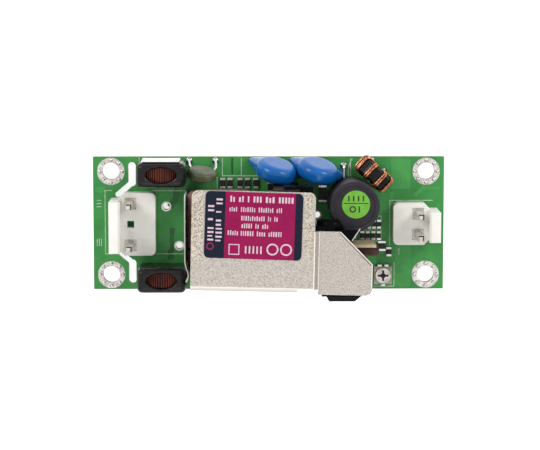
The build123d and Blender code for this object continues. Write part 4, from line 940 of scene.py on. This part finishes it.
# a black sheet in the film's finish hangs below the cover's north edge, bent down at its north end
cover = [v.co / mm for v in cad["heatsink_cover"].data.vertices]
coverTop = max(p.z for p in cover)
cover = [p for p in cover if p.z > coverTop - 0.2]
hem = sheetLook["hem"]
coverEast, coverNorth = max(p.x for p in cover), max(p.y for p in cover)
west, east, north = coverEast - hem["length"], coverEast - hem["inset"], coverNorth + hem["out"]
top = coverTop - hem["under"]
bend = top - hem["thickness"]
bm = bmesh.new()
addBox(bm, west, coverNorth - hem["inside"], east, north, bend, top)
addBox(bm, west, north - hem["thickness"], east, north, top - hem["drop"], bend)
bmesh.ops.remove_doubles(bm, verts=bm.verts, dist=weldReach)
newPiece("northBlackSheet", bm, blackFilm)
# a painted highlight along the film's cut corner edge
bm = bmesh.new()
addRibbon(bm, sheetLook["edgeHighlightLine"], sheetLook["edgeHighlightWidth"], filmTop - 0.2, filmTop + 0.03)
newPiece("filmEdgeHighlight", bm, finishOf("painted film edge highlight", sheetLook["edge"]))
# the film's folded flap, with its rolled end at the west
bm = bmesh.new()
addSlab(bm, sheetLook["flap"], *sheetLook["flapHeight"])
addBox(bm, *sheetLook["roll"], *sheetLook["rollHeight"])
bmesh.ops.bevel(bm, geom=bm.edges[:], offset=sheetLook["flapRounding"] * mm, segments=2, affect="EDGES")
newPiece("insulationFlap", bm, blackFilm, smooth=True)
dressed("barrier_sheet", finishOf("barrier board", sheetLook["barrier"]))

# Pieces under the cover and on the underside
innerLook = {
    "canSleeve": lookOf((146, 110, 108), (120, 86, 84), 3.0, (0.35, 0.5), 0.03, 1.5, specular=0.2),
    "can": lookOf((205, 206, 208), (192, 194, 197), 0.8, (0.25, 0.4), 0.01, 0.2, metal=1.0, stretch=(0.3, 0.3, 3.0)),
    "bung": lookOf((34, 33, 32), (24, 23, 22), 0.8, (0.6, 0.8), 0.02, 0.2),
    "bobbin": lookOf((26, 24, 24), (16, 15, 15), 1.5, (0.4, 0.55), 0.02, 0.3, specular=0.2),
    "tape": lookOf((128, 62, 34), (100, 46, 26), 2.0, (0.25, 0.4), 0.05, 0.7, stretch=(0.3, 0.3, 2.5), coat=0.3),
    "package": lookOf((34, 30, 29), (22, 19, 19), 1.0, (0.45, 0.62), 0.03, 0.16, specular=0.2),
    "chip": lookOf((36, 33, 31), (22, 20, 19), 0.7, (0.35, 0.5), 0.015, 0.2, specular=0.25),
    "cream": lookOf((206, 184, 152), (182, 158, 126), 0.8, (0.35, 0.5), 0.02, 0.3),
    "brown": lookOf((78, 54, 46), (50, 34, 30), 0.8, (0.4, 0.55), 0.02, 0.2, specular=0.2),
    "coreDark": lookOf((44, 36, 35), (30, 24, 24), 0.6, (0.5, 0.7), 0.02, 0.2, specular=0.1),
    "ceramic": lookOf((170, 166, 156), (132, 126, 118), 0.8, (0.4, 0.55), 0.01, 0.2),
    "rotor": lookOf((204, 199, 190), (158, 152, 146), 1.0, (0.25, 0.42), 0.02, 0.3, metal=0.9),
}
innerMaterials = {key: finishOf("inner " + key, look) for key, look in innerLook.items()}
for node, key in (
    ("output_capacitor_sleeve", "canSleeve"), ("output_capacitor_can", "can"), ("bulk_capacitor_bung", "bung"),
    ("output_capacitor_bung", "bung"), ("transformer_winding", "tape"), ("output_rectifier_tab", "cream"),
):
    dressed(node, innerMaterials[key])
for key, width, nodes in (
    ("package", 0.12, ("power_transistor", "bridge_rectifier", "controller_ic", "optocoupler")),
    ("coreDark", 0.15, ("transformer_core_lower", "transformer_core_upper")),
    ("bobbin", 0.1, ("transformer_bobbin",)), ("brown", 0.12, ("output_rectifier",)),
    ("chip", 0.05, ("chip_bodies",)), ("ceramic", 0.1, ("input_fuse",)), ("ceramic", 0.08, ("trimmer_base",)),
    ("rotor", 0.06, ("trimmer_rotor",)),
):
    for node in nodes:
        softened(node, innerMaterials[key], width)
bulkLook = {"fixedEnd": -6.3, "share": 0.92}
for part, slotName, key in (("Sleeve", "can_sleeve", "canSleeve"), ("Can", "can_aluminium", "can")):
    node = "bulk_capacitor_" + part.lower()
    shortened(node, "bulkCapacitor" + part, innerMaterials[key], bulkLook["fixedEnd"], bulkLook["share"])

# The trimmer's slot with painted shade: a dark round pit with four arms that turns with the rotor
slotShadeLook = {
    "centre": (21.82, -9.98), "arm": [(0.5, -0.2), (1.02, -0.2), (1.02, 0.2), (0.5, 0.2)], "depth": 0.24,
    "rise": 0.012,
}
x, y = slotShadeLook["centre"]
outline = []
for quarter in range(4):
    c, s = math.cos(quarter * math.pi / 2), math.sin(quarter * math.pi / 2)
    outline += [(x + ax * c - ay * s, y + ax * s + ay * c) for ax, ay in slotShadeLook["arm"]]
rotorTop = max(v.co.z for v in cad["trimmer_rotor"].data.vertices) / mm
bm = bmesh.new()
addSlab(bm, outline, rotorTop - slotShadeLook["depth"], rotorTop + slotShadeLook["rise"])
newPiece("rotorSlotShade", bm, innerMaterials["package"], rides="trimmer_rotor")
print("inner pieces dressed")

# Underside of the board: copper and print
underRuns = [
    [(-26.1, 4.06), (-22.4, 4.06), (-20.6, 3.2)], [(-26.1, -3.86), (-23.6, -6.4), (-22.65, -9.9)],
    [(-20.6, -3.2), (-18.6, -6.4), (-17.65, -9.9)],
    [(-22.65, 9.9), (-20.6, 6.0), (-20.6, 3.6)], [(-17.65, 9.9), (-15.1, 11.6)],
    [(-10.1, 11.95), (-12.6, 6.0), (-13.2, -0.9)],
    [(-17.65, -9.9), (-13.2, -5.4)], [(-10.8, -0.9), (-6.6, -6.9)], [(-11.2, -5.2), (-11.5, -7.2)],
    [(-5.2, 5.0), (-3.46, 11.95)],
    [(-2.9, 2.5), (-1.3, 3.4)], [(14.25, 11.0), (17.5, 11.6)], [(16.1, -2.8), (21.5, -1.6), (28.2, -1.88)],
    [(21.9, 7.6), (28.2, 2.1)],
    [(7.5, 3.4), (12.0, 5.6), (13.96, 9.19)], [(7.5, -1.55), (12.4, -3.4), (16.1, -2.8)],
    [(4.34, 11.95), (6.16, 9.19)],
]
underAreas = [
    (8.9, -8.6, 13.2, -4.9), (-8.9, -11.9, -2.6, -10.4), (22.4, 6.4, 26.4, 12.0), (22.4, -12.0, 26.8, -6.0),
    (-1.6, 6.4, 2.6, 10.2),
]
underUprights = [
    (-24.4, -1.6, 1.6), (-16.8, -1.6, 1.6), (-14.7, -5.6, -0.4), (-9.3, -5.6, -0.4), (-8.0, 0.3, 4.7),
    (-2.4, 0.3, 4.7), (3.15, 9.5, 11.5),
]
underRise = -boardLook["copperRise"]
boardCopper("underCopper", underAreas, underRuns, boardLook["underRun"], underRise, sunk, copperUnderMask)
bm = bmesh.new()
lines = [((x, south), (x, north)) for x, south, north in underUprights]
lines += [((0.2, y), (6.1, y)) for y in (6.0, -6.5)]
for start, end in lines:
    addStroke(bm, start, end, boardLook["line"], -boardLook["inkRise"], sunk)
newPiece("underPrint", bm, printMaterial)
print("underside dressed")

# Floor, light and camera
studio = {
    "floorSize": 3.0, "floorZ": leadEnd, "floorLift": 0.76, "ambient": 0.64,
    "lamps": [((-0.42, 0.34, 0.4), 0.24, 1.6), ((0.44, 0.36, 0.4), 0.24, 1.6), ((0.0, -0.3, 0.5), 0.35, 0.5)],
    "lens": 132.05, "cameraPlace": (-4.3158, 43.1286, 377.0068), "cameraTurn": (-0.115413, -0.012153, 0.00017),
}


def seenIn(tree):
    # 1 where the camera looks, also through a reflection or a clear piece, and 0 for the light that falls
    path = tree.nodes.new("ShaderNodeLightPath").outputs
    straight = mathOf(tree, "ADD", path["Is Camera Ray"], path["Is Glossy Ray"])
    return mathOf(tree, "MINIMUM", mathOf(tree, "ADD", straight, path["Is Transmission Ray"]), 1.0)


bm = bmesh.new()
bmesh.ops.create_grid(bm, x_segments=1, y_segments=1, size=studio["floorSize"])
floorMesh = meshFrom(bm, "floor", recalc=False)
floorMesh.transform(Matrix.Translation((0, 0, studio["floorZ"] * mm)))
floor = addObject("floor", floorMesh)
floor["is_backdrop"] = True
floorMaterial = choose(bpy.data.materials.new("floor paper"), use_nodes=True)
tree = floorMaterial.node_tree
shader = feed(tree.nodes["Principled BSDF"], {
    "Base Color": (0.85, 0.85, 0.85, 1), "Roughness": 0.9, "Specular IOR Level": 0.1,
    "Emission Color": (1, 1, 1, 1), "Emission Strength": mathOf(tree, "MULTIPLY", seenIn(tree), studio["floorLift"]),
})
# from below the floor is clear, so that the underside can be looked at
below = tree.nodes.new("ShaderNodeNewGeometry").outputs["Backfacing"]
clear = outOf(tree, "ShaderNodeBsdfTransparent")
either = outOf(tree, "ShaderNodeMixShader", {"Fac": below, 1: shader.outputs[0], 2: clear})
feed(tree.nodes["Material Output"], {"Surface": either})
floorMesh.materials.append(floorMaterial)

world = bpy.data.worlds.new("studio")
bpy.context.scene.world = world
world.use_nodes = True
tree = world.node_tree
brighter = mathOf(tree, "MULTIPLY", seenIn(tree), 1.0 - studio["ambient"])
strength = mathOf(tree, "ADD", brighter, studio["ambient"])
feed(tree.nodes["Background"], {"Color": (1, 1, 1, 1), "Strength": strength})

for n, (place, size, power) in enumerate(studio["lamps"]):
    name = "softbox%d" % n
    lamp = choose(bpy.data.lights.new(name, "AREA"), shape="SQUARE", size=size, energy=power)
    aim = (Vector((0, 0, 0)) - Vector(place)).to_track_quat("-Z", "Y")
    choose(addObject(name, lamp), location=place, rotation_mode="QUATERNION", rotation_quaternion=aim)

camera = choose(bpy.data.cameras.new("camera"), lens=studio["lens"], sensor_width=36, clip_start=0.01)
view = addObject("camera", camera)
choose(view, location=Vector(studio["cameraPlace"]) * mm, rotation_euler=studio["cameraTurn"])
bpy.context.scene.camera = view
bpy.context.scene.view_settings.view_transform = "Standard"
print("studio ready")

low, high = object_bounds()
